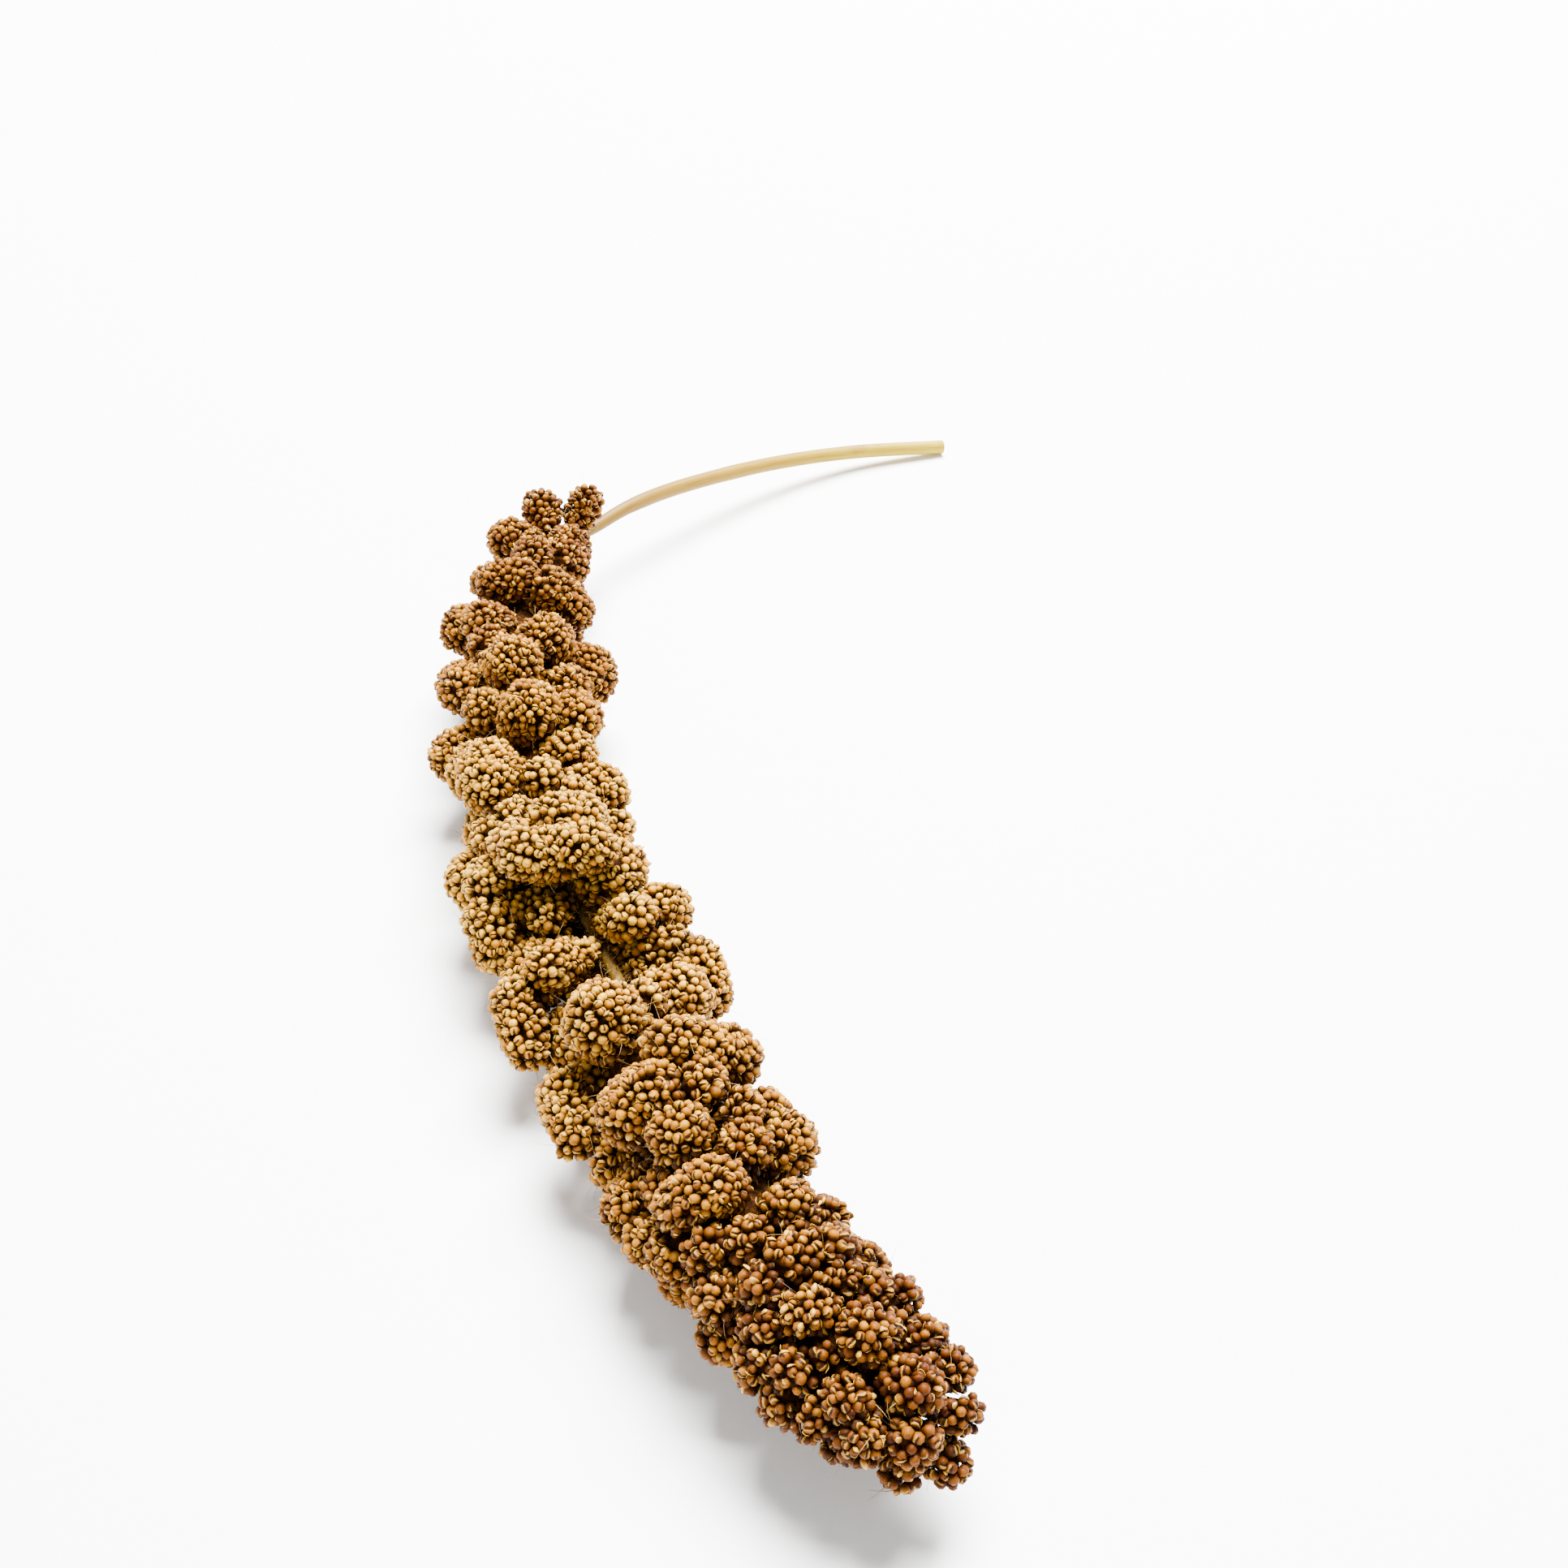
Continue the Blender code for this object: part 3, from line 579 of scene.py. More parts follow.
def over_finger(points, finger):
    """How far each point lies over a finger's surface, negative inside it."""
    _, start, end, start_radius, end_radius = finger
    start, end = np.array(start), np.array(end)
    way = end - start
    share = np.clip((points - start) @ way / (way @ way), 0, 1)
    radius = start_radius + (end_radius - start_radius) * np.minimum(1, share / FULL_FROM)
    return np.linalg.norm(points - start - share[:, None] * way, axis=1) - radius


def inside_fingers(points, margin):
    """Which points lie deeper than the margin inside any finger."""
    hidden = np.zeros(len(points), bool)
    for finger in FINGERS:
        hidden |= over_finger(points, finger) < -margin
    return hidden


def over_other_lobes(rows):
    """How far each grain lies over the nearest surface of a lobe that isn't its own."""
    nearest = np.full(len(rows), 99.0)
    for finger in FINGERS:
        over = np.where(rows[:, 6] == finger[0], 99.0, over_finger(rows[:, :3], finger))
        nearest = np.minimum(nearest, over)
    return nearest


def with_room(points, room):
    """Which points to keep, in their order, so that no two come closer than the room."""
    cells, kept = {}, []
    keys = np.floor(points / room).astype(int)
    near = [(a, b, c) for a in (0, -1, 1) for b in (0, -1, 1) for c in (0, -1, 1)]
    for number, ((x, y, z), (i, j, k)) in enumerate(zip(points.tolist(), keys.tolist())):
        free = True
        for a, b, c in near:
            for p, q, r in cells.get((i + a, j + b, k + c), ()):
                if (x - p) ** 2 + (y - q) ** 2 + (z - r) ** 2 < room * room:
                    free = False
                    break
            if not free:
                break
        if free:
            cells.setdefault((i, j, k), []).append((x, y, z))
            kept.append(number)
    return np.array(kept)


def sky_share(rows):
    """For each grain, the share of directions in which nothing but air lies ahead of it."""
    draw = np.random.default_rng(GRAIN_SEED + 2)
    rays = draw.normal(size=(SKY_RAYS, 3))
    rays = [Vector(ray).normalized() for ray in rays]
    shares = []
    for row in rows:
        out = Vector(row[3:6])
        start = Vector(row[:3]) * MM + out * RAY_START * MM
        ahead = [ray if ray.dot(out) > 0 else -ray for ray in rays]
        shares.append(sum(lobe_skins.ray_cast(start, ray)[0] is None for ray in ahead) / SKY_RAYS)
    return np.array(shares)


line_tree = KDTree(len(LINE))
for number, point in enumerate(LINE):
    line_tree.insert(point, number)
line_tree.balance()
corners = [v.co.copy() for v in chaff_body.data.vertices]
faces = [list(p.vertices) for p in chaff_body.data.polygons]
for _, start, end, start_radius, end_radius in FINGERS:
    body = ringed_body("lobe_skin", chaff_rings(start, end, start_radius, end_radius, SKIN_UNDER))
    faces += [[len(corners) + i for i in p.vertices] for p in body.data.polygons]
    corners += [v.co.copy() for v in body.data.vertices]
    bpy.data.objects.remove(body)
lobe_skins = BVHTree.FromPolygons(corners, faces)

trials = grain_trials()
trials = trials[~inside_fingers(trials[:, :3], GRAIN_SINK + GRAIN_OVERLAP)]
off_stalk = np.array([line_tree.find(Vector(row[:3]))[2] for row in trials])
trials = trials[off_stalk > STALK_ROOM]
grains = trials[with_room(trials[:, :3], GRAIN_ROOM)]
outer_tree = KDTree(len(grains))
for number, row in enumerate(grains):
    outer_tree.insert(row[:3], number)
outer_tree.balance()
holes = trials[[outer_tree.find(row[:3])[2] > HOLE_SIZE for row in trials]]
holes[:, :3] -= UNDER_LAYER * holes[:, 3:6]
holes = holes[with_room(holes[:, :3], UNDER_ROOM)]
under = np.arange(len(grains) + len(holes)) >= len(grains)
grains = np.vstack([grains, holes])
grain_sky = sky_share(grains)
grain_sky[under] *= UNDER_SKY
lit = grain_sky > LEAST_SKY
grains, under, grain_sky = grains[lit], under[lit], grain_sky[lit]
grain_station = np.array([STATIONS[line_tree.find(Vector(row[:3]))[1]] for row in grains])
draw = np.random.default_rng(GRAIN_SEED + 1)
relief = np.array([noise.noise(Vector(row[:3]) / CLUSTER_SIZE) for row in grains]) * CLUSTER_RELIEF
relief += draw.normal(0, GRAIN_SHIFT, len(grains))
grains[:, :3] += grains[:, 3:6] * relief[:, None] + draw.normal(0, GRAIN_SHIFT, (len(grains), 3))
crease = np.clip((CREASE_WIDE - over_other_lobes(grains)) / CREASE_WIDE, 0, 1)
grains[:, :3] -= grains[:, 3:6] * (CREASE_DEEP * crease)[:, None]
grains[:, 2] = np.maximum(grains[:, 2], FLOOR_CLEAR)
# Grains that see little open sky, or lie deep in a crease, are painted darker: painted shade.
grain_depth = np.maximum(1 - np.clip(grain_sky / OPEN_SKY, 0, 1), CREASE_SHADE * crease)
grain_painted_shade = grain_depth * np.array([along(CREASE_PAINTED_SHADE, s) for s in grain_station])
lobe_shades = np.array([draw.uniform(-LOBE_SHADES, LOBE_SHADES) for _ in LOBES])
grain_paleness_and_top_light = np.array([along(PALENESS, s) for s in grain_station])
grain_paleness_and_top_light += lobe_shades[grains[:, 6].astype(int)]
# Grains that face up are painted paler: painted light from above.
grain_paleness_and_top_light += UPWARD_PAINTED_LIGHT * grains[:, 5]

# millet husk: thin and hard, like worn horn, with hardly any shine. Its colour runs from straw
# to orange brown, with a pale lip and a dark slit where the two shells of the husk meet, and
# painted shade in the creases and round the sides of each grain.
husk, nodes, shader = new_material("millet_husk", Roughness=0.5, IOR=1.48, Specular_IOR_Level=0.08)
tint = add(nodes, "ShaderNodeAttribute", attribute_name="tint").outputs["Fac"]
# depth: how far a grain is painted dark, as painted shade of a crease or hollow
depth = add(nodes, "ShaderNodeAttribute", attribute_name="depth").outputs["Fac"]
on_grain = add(nodes, "ShaderNodeAttribute", attribute_name="husk_place").outputs["Vector"]
spot = add(nodes, "ShaderNodeTexCoord").outputs["Object"]
# pale: the bleaching of the grain, with a little painted light on those that face up
pale = add(nodes, "ShaderNodeAttribute", attribute_name="pale").outputs["Fac"]
shade_of_grain = add(nodes, "ShaderNodeMath", {0: tint, 1: 0.5, 2: pale}, operation="MULTIPLY_ADD")
husk_colour = add(nodes, "ShaderNodeValToRGB", {"Fac": shade_of_grain})
set_ramp(husk_colour, [(0.0, "#4C2400"), (0.25, "#704000"), (0.5, "#8E5A00"), (0.75, "#AA7400"),
                       (0.95, "#C68E00"), (1.0, "#D8A830")])
# Painted shade: grains deep in a crease are painted dark brown, and each grain is painted
# darker round its sides, near the next one, where shade falls.
crease_shade_share = add(nodes, "ShaderNodeMapRange",
                  {"Value": depth, "From Min": 0.08, "From Max": 0.7, "To Max": 0.93})
crease_shaded = add(nodes, "ShaderNodeMix", {0: crease_shade_share, 6: husk_colour, 7: linear("#2A1000")},
              data_type="RGBA")
blotch = add(nodes, "ShaderNodeTexNoise", {"Vector": spot, "Scale": BLOTCHES / MM, "Detail": 3})
blotch_colour = add(nodes, "ShaderNodeValToRGB", {"Fac": blotch.outputs["Fac"]})
set_ramp(blotch_colour, [(0.32, "#A8742E"), (0.5, "#F0DDB8"), (0.7, "#FFFFFF")])
axes = add(nodes, "ShaderNodeSeparateXYZ", {0: on_grain})
way_out = add(nodes, "ShaderNodeAttribute", attribute_name="facing").outputs["Vector"]
normal = add(nodes, "ShaderNodeNewGeometry").outputs["Normal"]
outward = add(nodes, "ShaderNodeVectorMath", {0: normal, 1: way_out}, operation="DOT_PRODUCT")
# painted shade: each grain is painted darker where its surface turns away from the way out
side_shade_share = add(nodes, "ShaderNodeMapRange", {
    "Value": outward.outputs["Value"], "From Min": 0.92, "From Max": 0.12, "To Max": 0.88})
side_shaded = add(nodes, "ShaderNodeMix", {0: side_shade_share, 6: crease_shaded.outputs[2], 7: linear("#2E1200")},
            data_type="RGBA")
blotched = add(nodes, "ShaderNodeMix", {0: 0.6, 6: side_shaded.outputs[2], 7: blotch_colour},
               data_type="RGBA", blend_type="MULTIPLY")
# The slit wavers over the front of a grain with the lip beside it. A quarter of them are shut.
wander = add(nodes, "ShaderNodeTexNoise", {"Vector": spot, "Scale": SLIT_WANDER / MM})
off_slit = add(nodes, "ShaderNodeMath", {0: wander.outputs["Fac"], 1: 0.5}, operation="SUBTRACT")
bent = add(nodes, "ShaderNodeMath", {0: off_slit, 1: 0.9, 2: axes.outputs["X"]},
           operation="MULTIPLY_ADD")
from_slit = add(nodes, "ShaderNodeMath", {0: bent}, operation="ABSOLUTE")
mixed_tint = add(nodes, "ShaderNodeMath", {0: tint, 1: 7.3}, operation="MULTIPLY")
own_share = add(nodes, "ShaderNodeMath", {0: mixed_tint}, operation="FRACT")
opened = add(nodes, "ShaderNodeMath", {0: own_share, 1: 0.28}, operation="GREATER_THAN")
off_back = add(nodes, "ShaderNodeMapRange",
               {"Value": axes.outputs["Y"], "From Min": -0.6, "From Max": -0.35})
front = add(nodes, "ShaderNodeMath", {0: off_back, 1: opened}, operation="MULTIPLY")
slit_line = add(nodes, "ShaderNodeMapRange",
                {"Value": from_slit, "From Min": 0.27, "From Max": 0.13})
slit = add(nodes, "ShaderNodeMath", {0: slit_line, 1: front}, operation="MULTIPLY")
off_lip = add(nodes, "ShaderNodeMath", {0: bent, 1: 0.4}, operation="SUBTRACT")
from_lip = add(nodes, "ShaderNodeMath", {0: off_lip}, operation="ABSOLUTE")
lip_line = add(nodes, "ShaderNodeMapRange", {"Value": from_lip, "From Min": 0.2, "From Max": 0.08})
lip = add(nodes, "ShaderNodeMath", {0: lip_line, 1: front}, operation="MULTIPLY")
lip_share = add(nodes, "ShaderNodeMath", {0: lip, 1: 0.42}, operation="MULTIPLY")
lipped = add(nodes, "ShaderNodeMix", {0: lip_share, 6: blotched.outputs[2], 7: linear("#CC9A34")},
             data_type="RGBA")
slit_share = add(nodes, "ShaderNodeMath", {0: slit, 1: 0.95}, operation="MULTIPLY")
slitted = add(nodes, "ShaderNodeMix", {0: slit_share, 6: lipped.outputs[2], 7: linear("#1C0A00")},
              data_type="RGBA")
nodes.links.new(slitted.outputs[2], shader.inputs["Base Color"])
raised = add(nodes, "ShaderNodeMath", {0: lip, 1: slit}, operation="SUBTRACT")
lip_relief = add(nodes, "ShaderNodeBump", {"Height": raised, "Strength": 0.6, "Distance": 0.1 * MM})
wrinkles = add(nodes, "ShaderNodeBump", {
    "Height": blotch.outputs["Fac"], "Strength": 0.35, "Distance": 0.1 * MM,
    "Normal": lip_relief})
nodes.links.new(wrinkles.outputs[0], shader.inputs["Normal"])

# One tree sets grains, flakes and hairs: each point gets one of the shapes, turned to the way
# out at that point, tipped and spun at random, and given its own size and tint.
setter, given, result = new_tree("set_on_points", [
    ("Shapes", "Collection"), ("Width", "Float"), ("Spread", "Float"), ("Tip", "Float"),
    ("Seed", "Int"), ("Finish", "Material")])
FULL_TURN = 6.283


def random_value(offset, low, high, **settings):
    """A random value for each point, from the seed given to the tree and its own offset."""
    seed = add(setter, "ShaderNodeMath", {0: given["Seed"], 1: offset}, operation="ADD")
    vector = settings.get("data_type") == "FLOAT_VECTOR"
    node = add(setter, "FunctionNodeRandomValue",
               {(0 if vector else 2): low, (1 if vector else 3): high, "Seed": seed}, **settings)
    return node.outputs[0 if vector else 1]


way_out = add(setter, "GeometryNodeInputNamedAttribute", {"Name": "facing"},
              data_type="FLOAT_VECTOR")
kind = add(setter, "GeometryNodeInputNamedAttribute", {"Name": "kind"}, data_type="INT")
aside = random_value(1, (-1, -1, -1), (1, 1, 1), data_type="FLOAT_VECTOR")
tipped = add(setter, "ShaderNodeVectorMath", {0: aside, "Scale": given["Tip"]}, operation="SCALE")
aimed = add(setter, "ShaderNodeVectorMath", {0: way_out, 1: tipped}, operation="ADD")
stand = add(setter, "FunctionNodeAlignRotationToVector", {"Vector": aimed}, axis="Z")
spin = add(setter, "FunctionNodeAxisAngleToRotation",
           {"Axis": (0, 0, 1), "Angle": random_value(2, 0.0, FULL_TURN)})
turned = add(setter, "FunctionNodeRotateRotation", {0: stand, 1: spin}, rotation_space="LOCAL")
smaller = add(setter, "ShaderNodeMath", {0: 1.0, 1: given["Spread"]}, operation="SUBTRACT")
larger = add(setter, "ShaderNodeMath", {0: 1.0, 1: given["Spread"]}, operation="ADD")
share_of_width = random_value(3, smaller, larger)
size = add(setter, "ShaderNodeMath", {0: share_of_width, 1: given["Width"]}, operation="MULTIPLY")
shapes = add(setter, "GeometryNodeCollectionInfo",
             {"Collection": given["Shapes"], "Separate Children": True, "Reset Children": True})
placed = add(setter, "GeometryNodeInstanceOnPoints", {
    "Points": given["Geometry"], "Instance": shapes, "Pick Instance": True,
    "Instance Index": kind, "Rotation": turned, "Scale": size})
tinted = add(setter, "GeometryNodeStoreNamedAttribute",
             {"Geometry": placed, "Name": "tint", "Value": random_value(4, 0.0, 1.0)},
             data_type="FLOAT", domain="INSTANCE")
real = add(setter, "GeometryNodeRealizeInstances", {"Geometry": tinted})
smooth = add(setter, "GeometryNodeSetShadeSmooth", {"Geometry": real})
finished = add(setter, "GeometryNodeSetMaterial", {"Geometry": smooth, "Material": given["Finish"]})
setter.links.new(finished.outputs[0], result["Geometry"])


GRAIN_LONG, BACK_FLAT = 1.08, 0.9           # in grain radii
ON_SEAM, SLIT_WIDE, SLIT_FLOOR = 0.01, 0.13, 0.72


def husk_ball(name, plain=False, slit=False):
    """A grain of radius 1 whose tip points along +Z, with its slit on the +Y side."""
    mesh = bmesh.new()
    if plain:
        corners = [mesh.verts.new(corner) for corner in (
            (1, 0, 0), (0, 1, 0), (-1, 0, 0), (0, -1, 0), (0, 0, 1), (0, 0, -1))]
        for i in range(4):
            mesh.faces.new((corners[i], corners[(i + 1) % 4], corners[4]))
            mesh.faces.new((corners[(i + 1) % 4], corners[i], corners[5]))
    else:
        bmesh.ops.create_cube(mesh, size=2)
    bmesh.ops.subdivide_edges(mesh, edges=mesh.edges, cuts=1, use_grid_fill=True)
    for vert in mesh.verts:
        vert.co.normalize()
    if slit:
        seam = [edge for edge in mesh.edges if all(
            abs(v.co.x) < ON_SEAM and v.co.y > -ON_SEAM and v.co.z > -0.8 for v in edge.verts)]
        bmesh.ops.bevel(mesh, geom=seam, offset=SLIT_WIDE, segments=2, affect="EDGES")
        for vert in mesh.verts:
            if abs(vert.co.x) < ON_SEAM and vert.co.y > 0.3 and vert.co.z > -0.75:
                vert.co *= SLIT_FLOOR
    on_grain = mesh.verts.layers.float_vector.new("husk_place")
    for vert in mesh.verts:
        vert[on_grain] = vert.co.normalized()
        vert.co.z *= GRAIN_LONG
        vert.co.y *= BACK_FLAT if vert.co.y < 0 else 1
        if vert.co.z > 0.8:
            vert.co.x *= 0.9
    return bpy.data.objects.new(name, new_mesh(name, mesh))


def shape_set(name, shapes):
    """A collection of shapes for the tree to pick from, in the order of their names."""
    group = bpy.data.collections.new(name)
    for shape in shapes:
        group.objects.link(shape)
    return group


def clear_shapes(group):
    """Remove a set of shapes once every piece that uses it is a plain mesh."""
    for shape in list(group.objects):
        bpy.data.objects.remove(shape)
    bpy.data.collections.remove(group)


def point_mesh(name, rows, **values):
    """Loose points, in millimetres, that carry the way out and any other values."""
    data = bpy.data.meshes.new(name)
    data.from_pydata((rows[:, :3] * MM).tolist(), [], [])
    facing = data.attributes.new("facing", "FLOAT_VECTOR", "POINT")
    facing.data.foreach_set("vector", rows[:, 3:6].astype(np.float32).ravel())
    for key, numbers in values.items():
        layer = data.attributes.new(key, "INT" if key == "kind" else "FLOAT", "POINT")
        layer.data.foreach_set("value", numbers.astype(np.int32 if key == "kind" else np.float32))
    return new_piece(name, data)


ROUND, SLIT, PLAIN = 0, 1, 2
grain_shapes = shape_set("grain_shapes", [
    husk_ball("grain_a_round"), husk_ball("grain_b_slit", slit=True),
    husk_ball("grain_c_plain", plain=True)])
grain_kind = np.where(draw.random(len(grains)) < SLIT_SHARE, SLIT, ROUND)
grain_kind[under | (grain_depth > PLAIN_DEPTH) | (grains[:, 5] < PLAIN_FACING)] = PLAIN
by_station = np.argsort(grain_station, kind="stable")
stretches = ("tip_grains", "fore_grains", "middle_grains", "hind_grains", "base_grains")
for name, rows in zip(stretches, np.array_split(by_station, len(stretches))):
    piece = point_mesh(name, grains[rows], depth=grain_painted_shade[rows], pale=grain_paleness_and_top_light[rows],
                       kind=grain_kind[rows])
    grow(piece, setter, {"Shapes": grain_shapes, "Width": GRAIN_WIDTH / 2 * MM,
                         "Spread": GRAIN_SPREAD, "Tip": GRAIN_TIP, "Seed": 20, "Finish": husk})
    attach(piece, "root")
    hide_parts("seed_head")
clear_shapes(grain_shapes)

# THE HUSK FLAKES. The outer scale of many a grain has come loose: a papery cup, brown where it
# grows and bleached at its rim, that hugs one side of its grain and curls away at the tip.
FLAKE_SHARE, FLAKE_SPREAD, FLAKE_TIP = 0.26, 0.12, 0.5
FLAKE_CLEAR, FLAKE_THICK = 1.06, 0.05       # in grain radii
FLAKE_DEPTH, FLAKE_FACING = 0.75, -0.3      # deeper or further round than this, there are none
FLAKE_VEINS = 2.6                           # to a millimetre

# husk paper: a dry scale, thin and matt, dark brown at its foot and bleached towards its rim
flake_paper, nodes, shader = new_material("husk_paper", Roughness=0.62, Specular_IOR_Level=0.2)
on_flake = add(nodes, "ShaderNodeAttribute", attribute_name="husk_place").outputs["Vector"]
tint = add(nodes, "ShaderNodeAttribute", attribute_name="tint").outputs["Fac"]
way = add(nodes, "ShaderNodeSeparateXYZ", {0: on_flake})
rim = add(nodes, "ShaderNodeMath", {0: tint, 1: 0.5, 2: way.outputs["Z"]}, operation="MULTIPLY_ADD")
paper_colour = add(nodes, "ShaderNodeValToRGB", {"Fac": rim})
set_ramp(paper_colour, [(0.0, "#361800"), (0.45, "#704200"), (0.75, "#9A6C14"), (1.0, "#BC8C36")])
nodes.links.new(paper_colour.outputs[0], shader.inputs["Base Color"])
spot = add(nodes, "ShaderNodeTexCoord").outputs["Object"]
veins = add(nodes, "ShaderNodeTexNoise", {"Vector": spot, "Scale": FLAKE_VEINS / MM, "Detail": 2})
vein_relief = add(nodes, "ShaderNodeBump",
                  {"Height": veins.outputs["Fac"], "Strength": 0.4, "Distance": 0.1 * MM})
nodes.links.new(vein_relief.outputs[0], shader.inputs["Normal"])


def husk_flake(name, half_width, low, high, curl):
    """A thin leaf that hugs the +Y side of a grain of radius 1, and curls out at its tip."""
    mesh = bmesh.new()
    on_flake = mesh.verts.layers.float_vector.new("husk_place")
    layers = []
    for out in (FLAKE_CLEAR, FLAKE_CLEAR + FLAKE_THICK):
        rows = []
        for level in range(4):
            share = level / 3
            lift = math.radians(low + (high - low) * share)
            wide = math.radians(half_width) * (0.55 + 0.75 * share - 1.1 * share * share)
            radius = out + curl * share * share
            row = []
            for side in (-1, 0, 1):
                turn = side * wide / max(0.3, math.cos(lift))
                level_radius = radius * math.cos(lift)
                vert = mesh.verts.new((level_radius * math.sin(turn),
                                       level_radius * math.cos(turn), radius * math.sin(lift)))
                vert[on_flake] = (side, 0, share)
                row.append(vert)
            rows.append(row)
        layers.append(rows)
    inner, outer = layers
    for i in range(3):
        for j in range(2):
            mesh.faces.new((outer[i][j], outer[i + 1][j], outer[i + 1][j + 1], outer[i][j + 1]))
            mesh.faces.new((inner[i][j], inner[i][j + 1], inner[i + 1][j + 1], inner[i + 1][j]))
        mesh.faces.new((inner[i][0], inner[i + 1][0], outer[i + 1][0], outer[i][0]))
        mesh.faces.new((inner[i][2], outer[i][2], outer[i + 1][2], inner[i + 1][2]))
    for j in range(2):
        mesh.faces.new((inner[0][j], outer[0][j], outer[0][j + 1], inner[0][j + 1]))
        mesh.faces.new((inner[3][j], inner[3][j + 1], outer[3][j + 1], outer[3][j]))
    bmesh.ops.recalc_face_normals(mesh, faces=mesh.faces)
    return bpy.data.objects.new(name, new_mesh(name, mesh))


flake_shapes = shape_set("flake_shapes", [
    husk_flake("flake_a_cup", 62, -25, 50, 0.1), husk_flake("flake_b_curled", 50, -20, 58, 0.35),
    husk_flake("flake_c_point", 38, -30, 66, 0.2)])
seen = (grain_depth < FLAKE_DEPTH) & (grains[:, 5] > FLAKE_FACING) & ~under
flake_rows = np.flatnonzero(seen & (draw.random(len(grains)) < FLAKE_SHARE))
flakes = point_mesh("husk_flakes", grains[flake_rows], kind=draw.integers(0, 3, len(flake_rows)))
grow(flakes, setter, {"Shapes": flake_shapes, "Width": GRAIN_WIDTH / 2 * MM,
                      "Spread": FLAKE_SPREAD, "Tip": FLAKE_TIP, "Seed": 40,
                      "Finish": flake_paper})
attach(flakes, "root")
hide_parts("seed_head")
clear_shapes(flake_shapes)

# THE BRISTLES. Stiff curved hairs, 3 to 6 mm long, stand out between the grains, straw-pale or
# dark, and fine short hairs clothe the stalk where it shows in the bare gap.
BRISTLE_SHARE, BRISTLE_LONG, BRISTLE_TIP = 0.07, 4.2, 0.9
BRISTLES_OVER = 6               # none grow this near the table
HAIR_COUNT, HAIR_LONG, HAIR_TIP = 900, 1.7, 0.35
HAIR_FROM, HAIR_TO = 108, 156
HAIR_ROOT, HAIR_SLANT = 0.05, 0.35
LENGTH_SPREAD = 0.35
THREE_TURNS = (0, 2.094, 4.189)     # the three sides of a hair

# bristle horn: stiff and smooth with a faint shine, from dark brown to straw
bristle_horn, nodes, shader = new_material("bristle_horn", Roughness=0.4, Specular_IOR_Level=0.3)
tint = add(nodes, "ShaderNodeAttribute", attribute_name="tint").outputs["Fac"]
bristle_colour = add(nodes, "ShaderNodeValToRGB", {"Fac": tint})
set_ramp(bristle_colour, [(0.0, "#2A1402"), (0.4, "#5E3A0E"), (0.75, "#94702E"), (1.0, "#C0A468")])
nodes.links.new(bristle_colour.outputs[0], shader.inputs["Base Color"])


def curved_hair(name, bend, side_bend, girth):
    """A hair 1 long along +Z that bends over towards +Y and ends in a point."""
    mesh = bmesh.new()
    rows = []
    for share in (0, 0.35, 0.7):
        middle = Vector((side_bend * share * share, bend * share * share, share))
        radius = girth * (1 - 0.6 * share)
        sides = [Vector((radius * math.cos(t), radius * math.sin(t), 0)) for t in THREE_TURNS]
        rows.append([mesh.verts.new(middle + side) for side in sides])
    tip = mesh.verts.new((side_bend, bend, 1))
    for low, high in zip(rows, rows[1:]):
        for i in range(3):
            mesh.faces.new((low[i], low[(i + 1) % 3], high[(i + 1) % 3], high[i]))
    for i in range(3):
        mesh.faces.new((rows[-1][i], rows[-1][(i + 1) % 3], tip))
    mesh.faces.new(list(reversed(rows[0])))
    return bpy.data.objects.new(name, new_mesh(name, mesh))


bristle_shapes = shape_set("bristle_shapes", [
    curved_hair("bristle_a", 0.25, 0.0, 0.013), curved_hair("bristle_b", 0.55, 0.15, 0.012),
    curved_hair("bristle_c", 0.8, -0.3, 0.011)])
bristled = (draw.random(len(grains)) < BRISTLE_SHARE) & (grains[:, 2] > BRISTLES_OVER)
bristle_rows = np.flatnonzero(bristled)
bristles = point_mesh("bristles", grains[bristle_rows],
                      kind=draw.integers(0, 3, len(bristle_rows)))
grow(bristles, setter, {"Shapes": bristle_shapes, "Width": BRISTLE_LONG * MM,
                        "Spread": LENGTH_SPREAD, "Tip": BRISTLE_TIP, "Seed": 60,
                        "Finish": bristle_horn})
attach(bristles, "root")
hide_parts("seed_head")
clear_shapes(bristle_shapes)

hair_shapes = shape_set("hair_shapes", [
    curved_hair("hair_a", 0.3, 0.1, 0.022), curved_hair("hair_b", 0.6, -0.1, 0.022)])
rows = []
for _ in range(HAIR_COUNT):
    station = draw.uniform(HAIR_FROM, HAIR_TO)
    turn = draw.uniform(0, 2 * math.pi)
    ahead, right, up = directions_at(station)
    out = right * math.cos(turn) + up * math.sin(turn)
    root = stalk_point(station) + out * (stalk_radius(station) - HAIR_ROOT)
    rows.append((*root, *(out - HAIR_SLANT * ahead)))
hairs = point_mesh("stalk_hairs", np.array(rows), kind=draw.integers(0, 2, HAIR_COUNT))
grow(hairs, setter, {"Shapes": hair_shapes, "Width": HAIR_LONG * MM, "Spread": LENGTH_SPREAD,
                     "Tip": HAIR_TIP, "Seed": 80, "Finish": bristle_horn})
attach(hairs, "root")
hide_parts("stalk")
clear_shapes(hair_shapes)

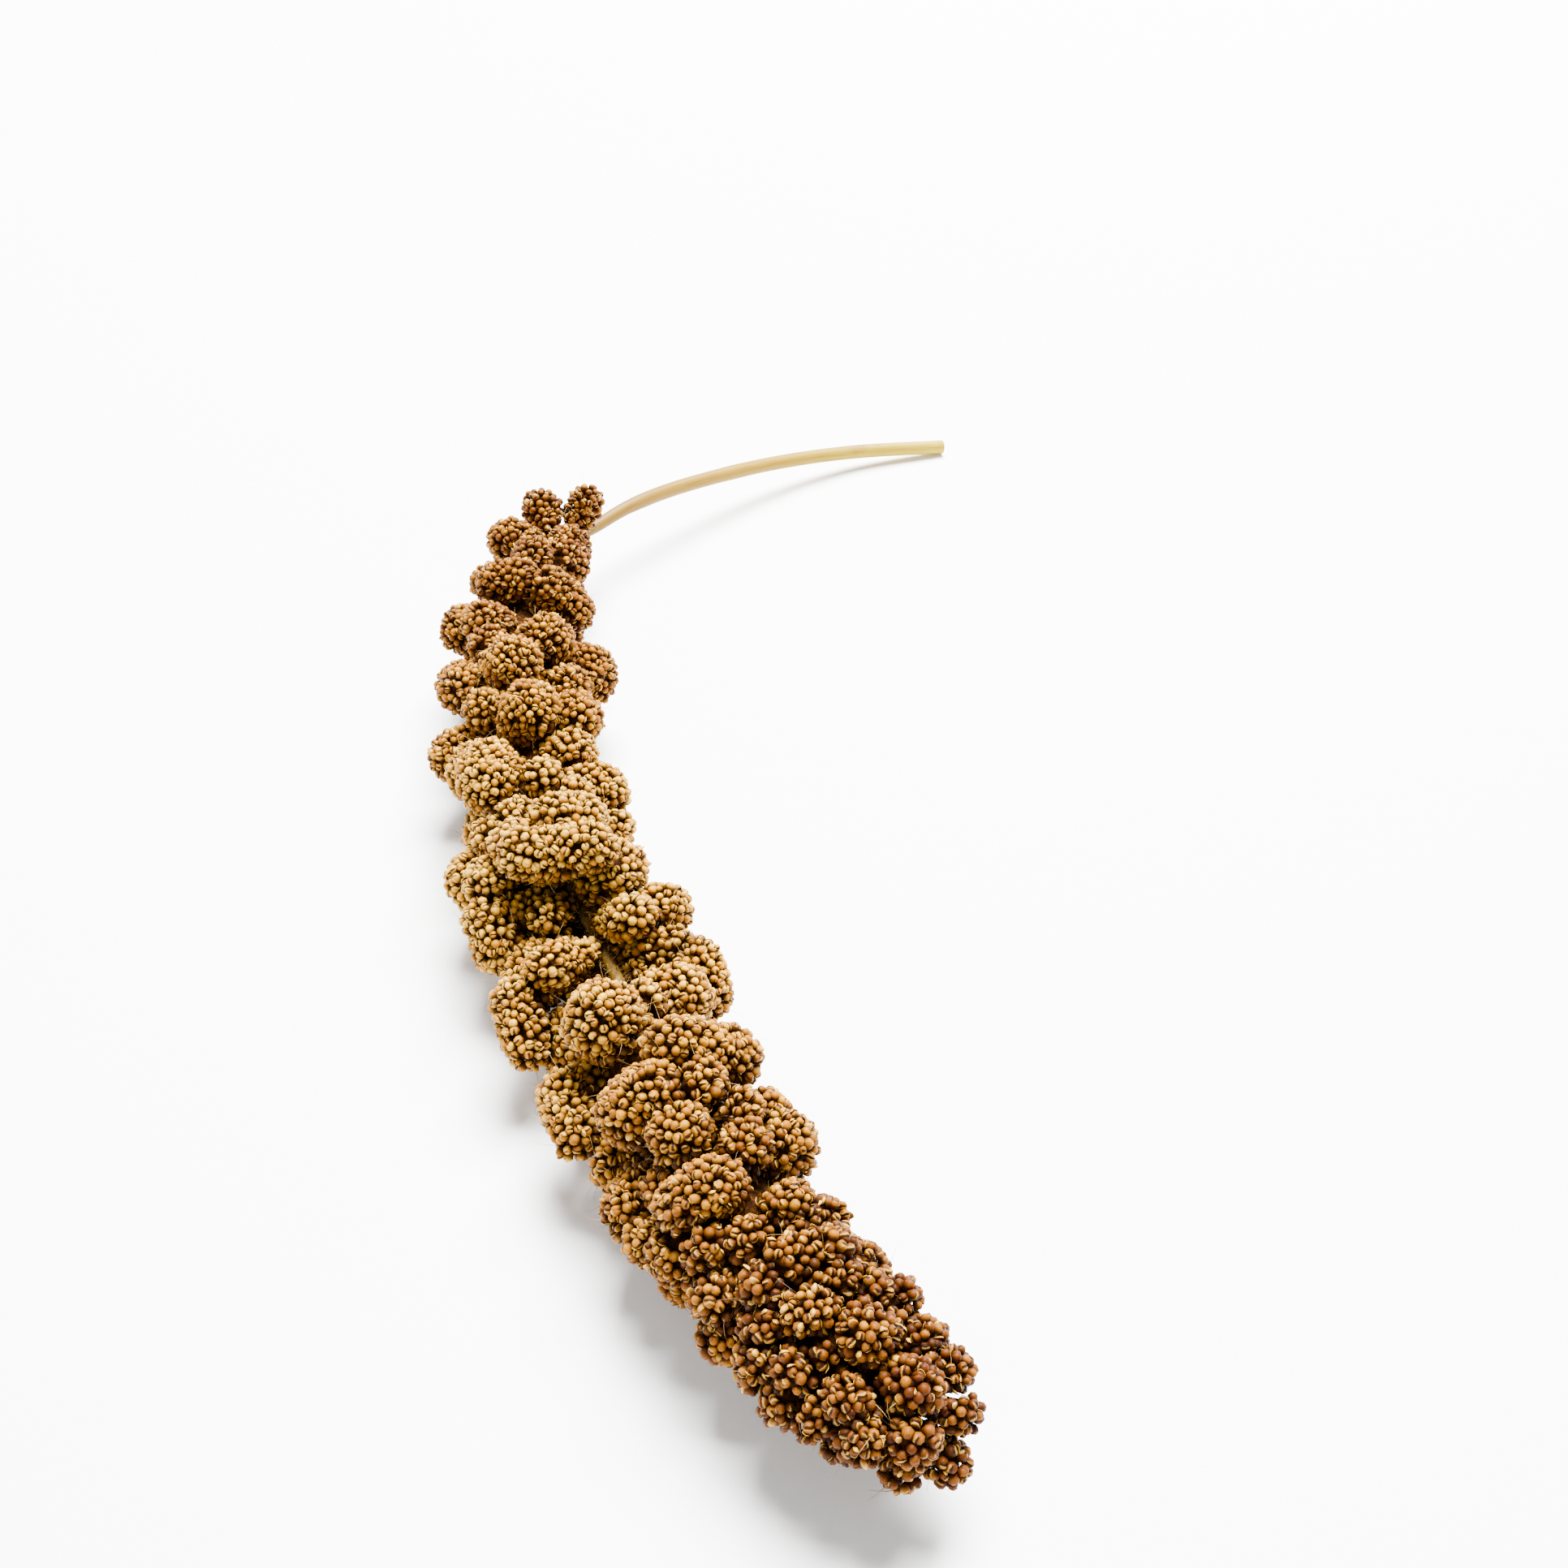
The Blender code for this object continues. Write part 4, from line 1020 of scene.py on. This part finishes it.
# THE FLOOR AND THE LIGHT. A white table top, one broad soft light above and behind the head,
# and a fill from the camera's side. The camera looks 40 degrees down on the head.
TABLE_HALF = 2.5
ROOM_LIGHT = 0.58
LIGHT_AIM = (-0.03, 0.0, 0.02)
KEY_PLACE, KEY_WIDTH, KEY_POWER = (0.5, 0.95, 1.9), 1.4, 690.0
FILL_PLACE, FILL_WIDTH, FILL_POWER = (-0.9, -1.2, 0.9), 0.8, 16.0
CAMERA_PLACE = (-0.0949, -0.31545, 0.2967)
CAMERA_TILT, CAMERA_TURN, CAMERA_LENS = 50, -15.3, 44.2     # degrees, degrees and millimetres

# white table: smooth paint, even and nearly matt, which takes a soft shadow
floor, _, shader = new_material("white_table", Roughness=0.6)
shader.inputs["Base Color"].default_value = linear("#FCFCFB")
mesh = bmesh.new()
bmesh.ops.create_grid(mesh, x_segments=1, y_segments=1, size=TABLE_HALF)
data = new_mesh("table_top", mesh)
data.materials.append(floor)
new_piece("table_top", data)

world = bpy.data.worlds.new("white_room")
bpy.context.scene.world = world
world.use_nodes = True
world.node_tree.nodes["Background"].inputs["Color"].default_value = (1.0, 1.0, 1.0, 1.0)
world.node_tree.nodes["Background"].inputs["Strength"].default_value = ROOM_LIGHT


def soft_light(name, place, aim, width, power):
    """A square lamp that hangs at a place and faces a point."""
    lamp = bpy.data.lights.new(name, "AREA")
    lamp.size, lamp.energy = width, power
    light = bpy.data.objects.new(name, lamp)
    bpy.context.scene.collection.objects.link(light)
    light.location = place
    light.rotation_euler = (Vector(aim) - Vector(place)).to_track_quat("-Z", "Y").to_euler()


soft_light("key_light", KEY_PLACE, LIGHT_AIM, KEY_WIDTH, KEY_POWER)
soft_light("fill_light", FILL_PLACE, LIGHT_AIM, FILL_WIDTH, FILL_POWER)

camera = bpy.data.objects.new("camera", bpy.data.cameras.new("camera"))
bpy.context.scene.collection.objects.link(camera)
camera.location = CAMERA_PLACE
camera.rotation_euler = (math.radians(CAMERA_TILT), 0, math.radians(CAMERA_TURN))
camera.data.lens = CAMERA_LENS
camera.data.sensor_width = 36
camera.data.clip_start = 0.01
bpy.context.scene.camera = camera
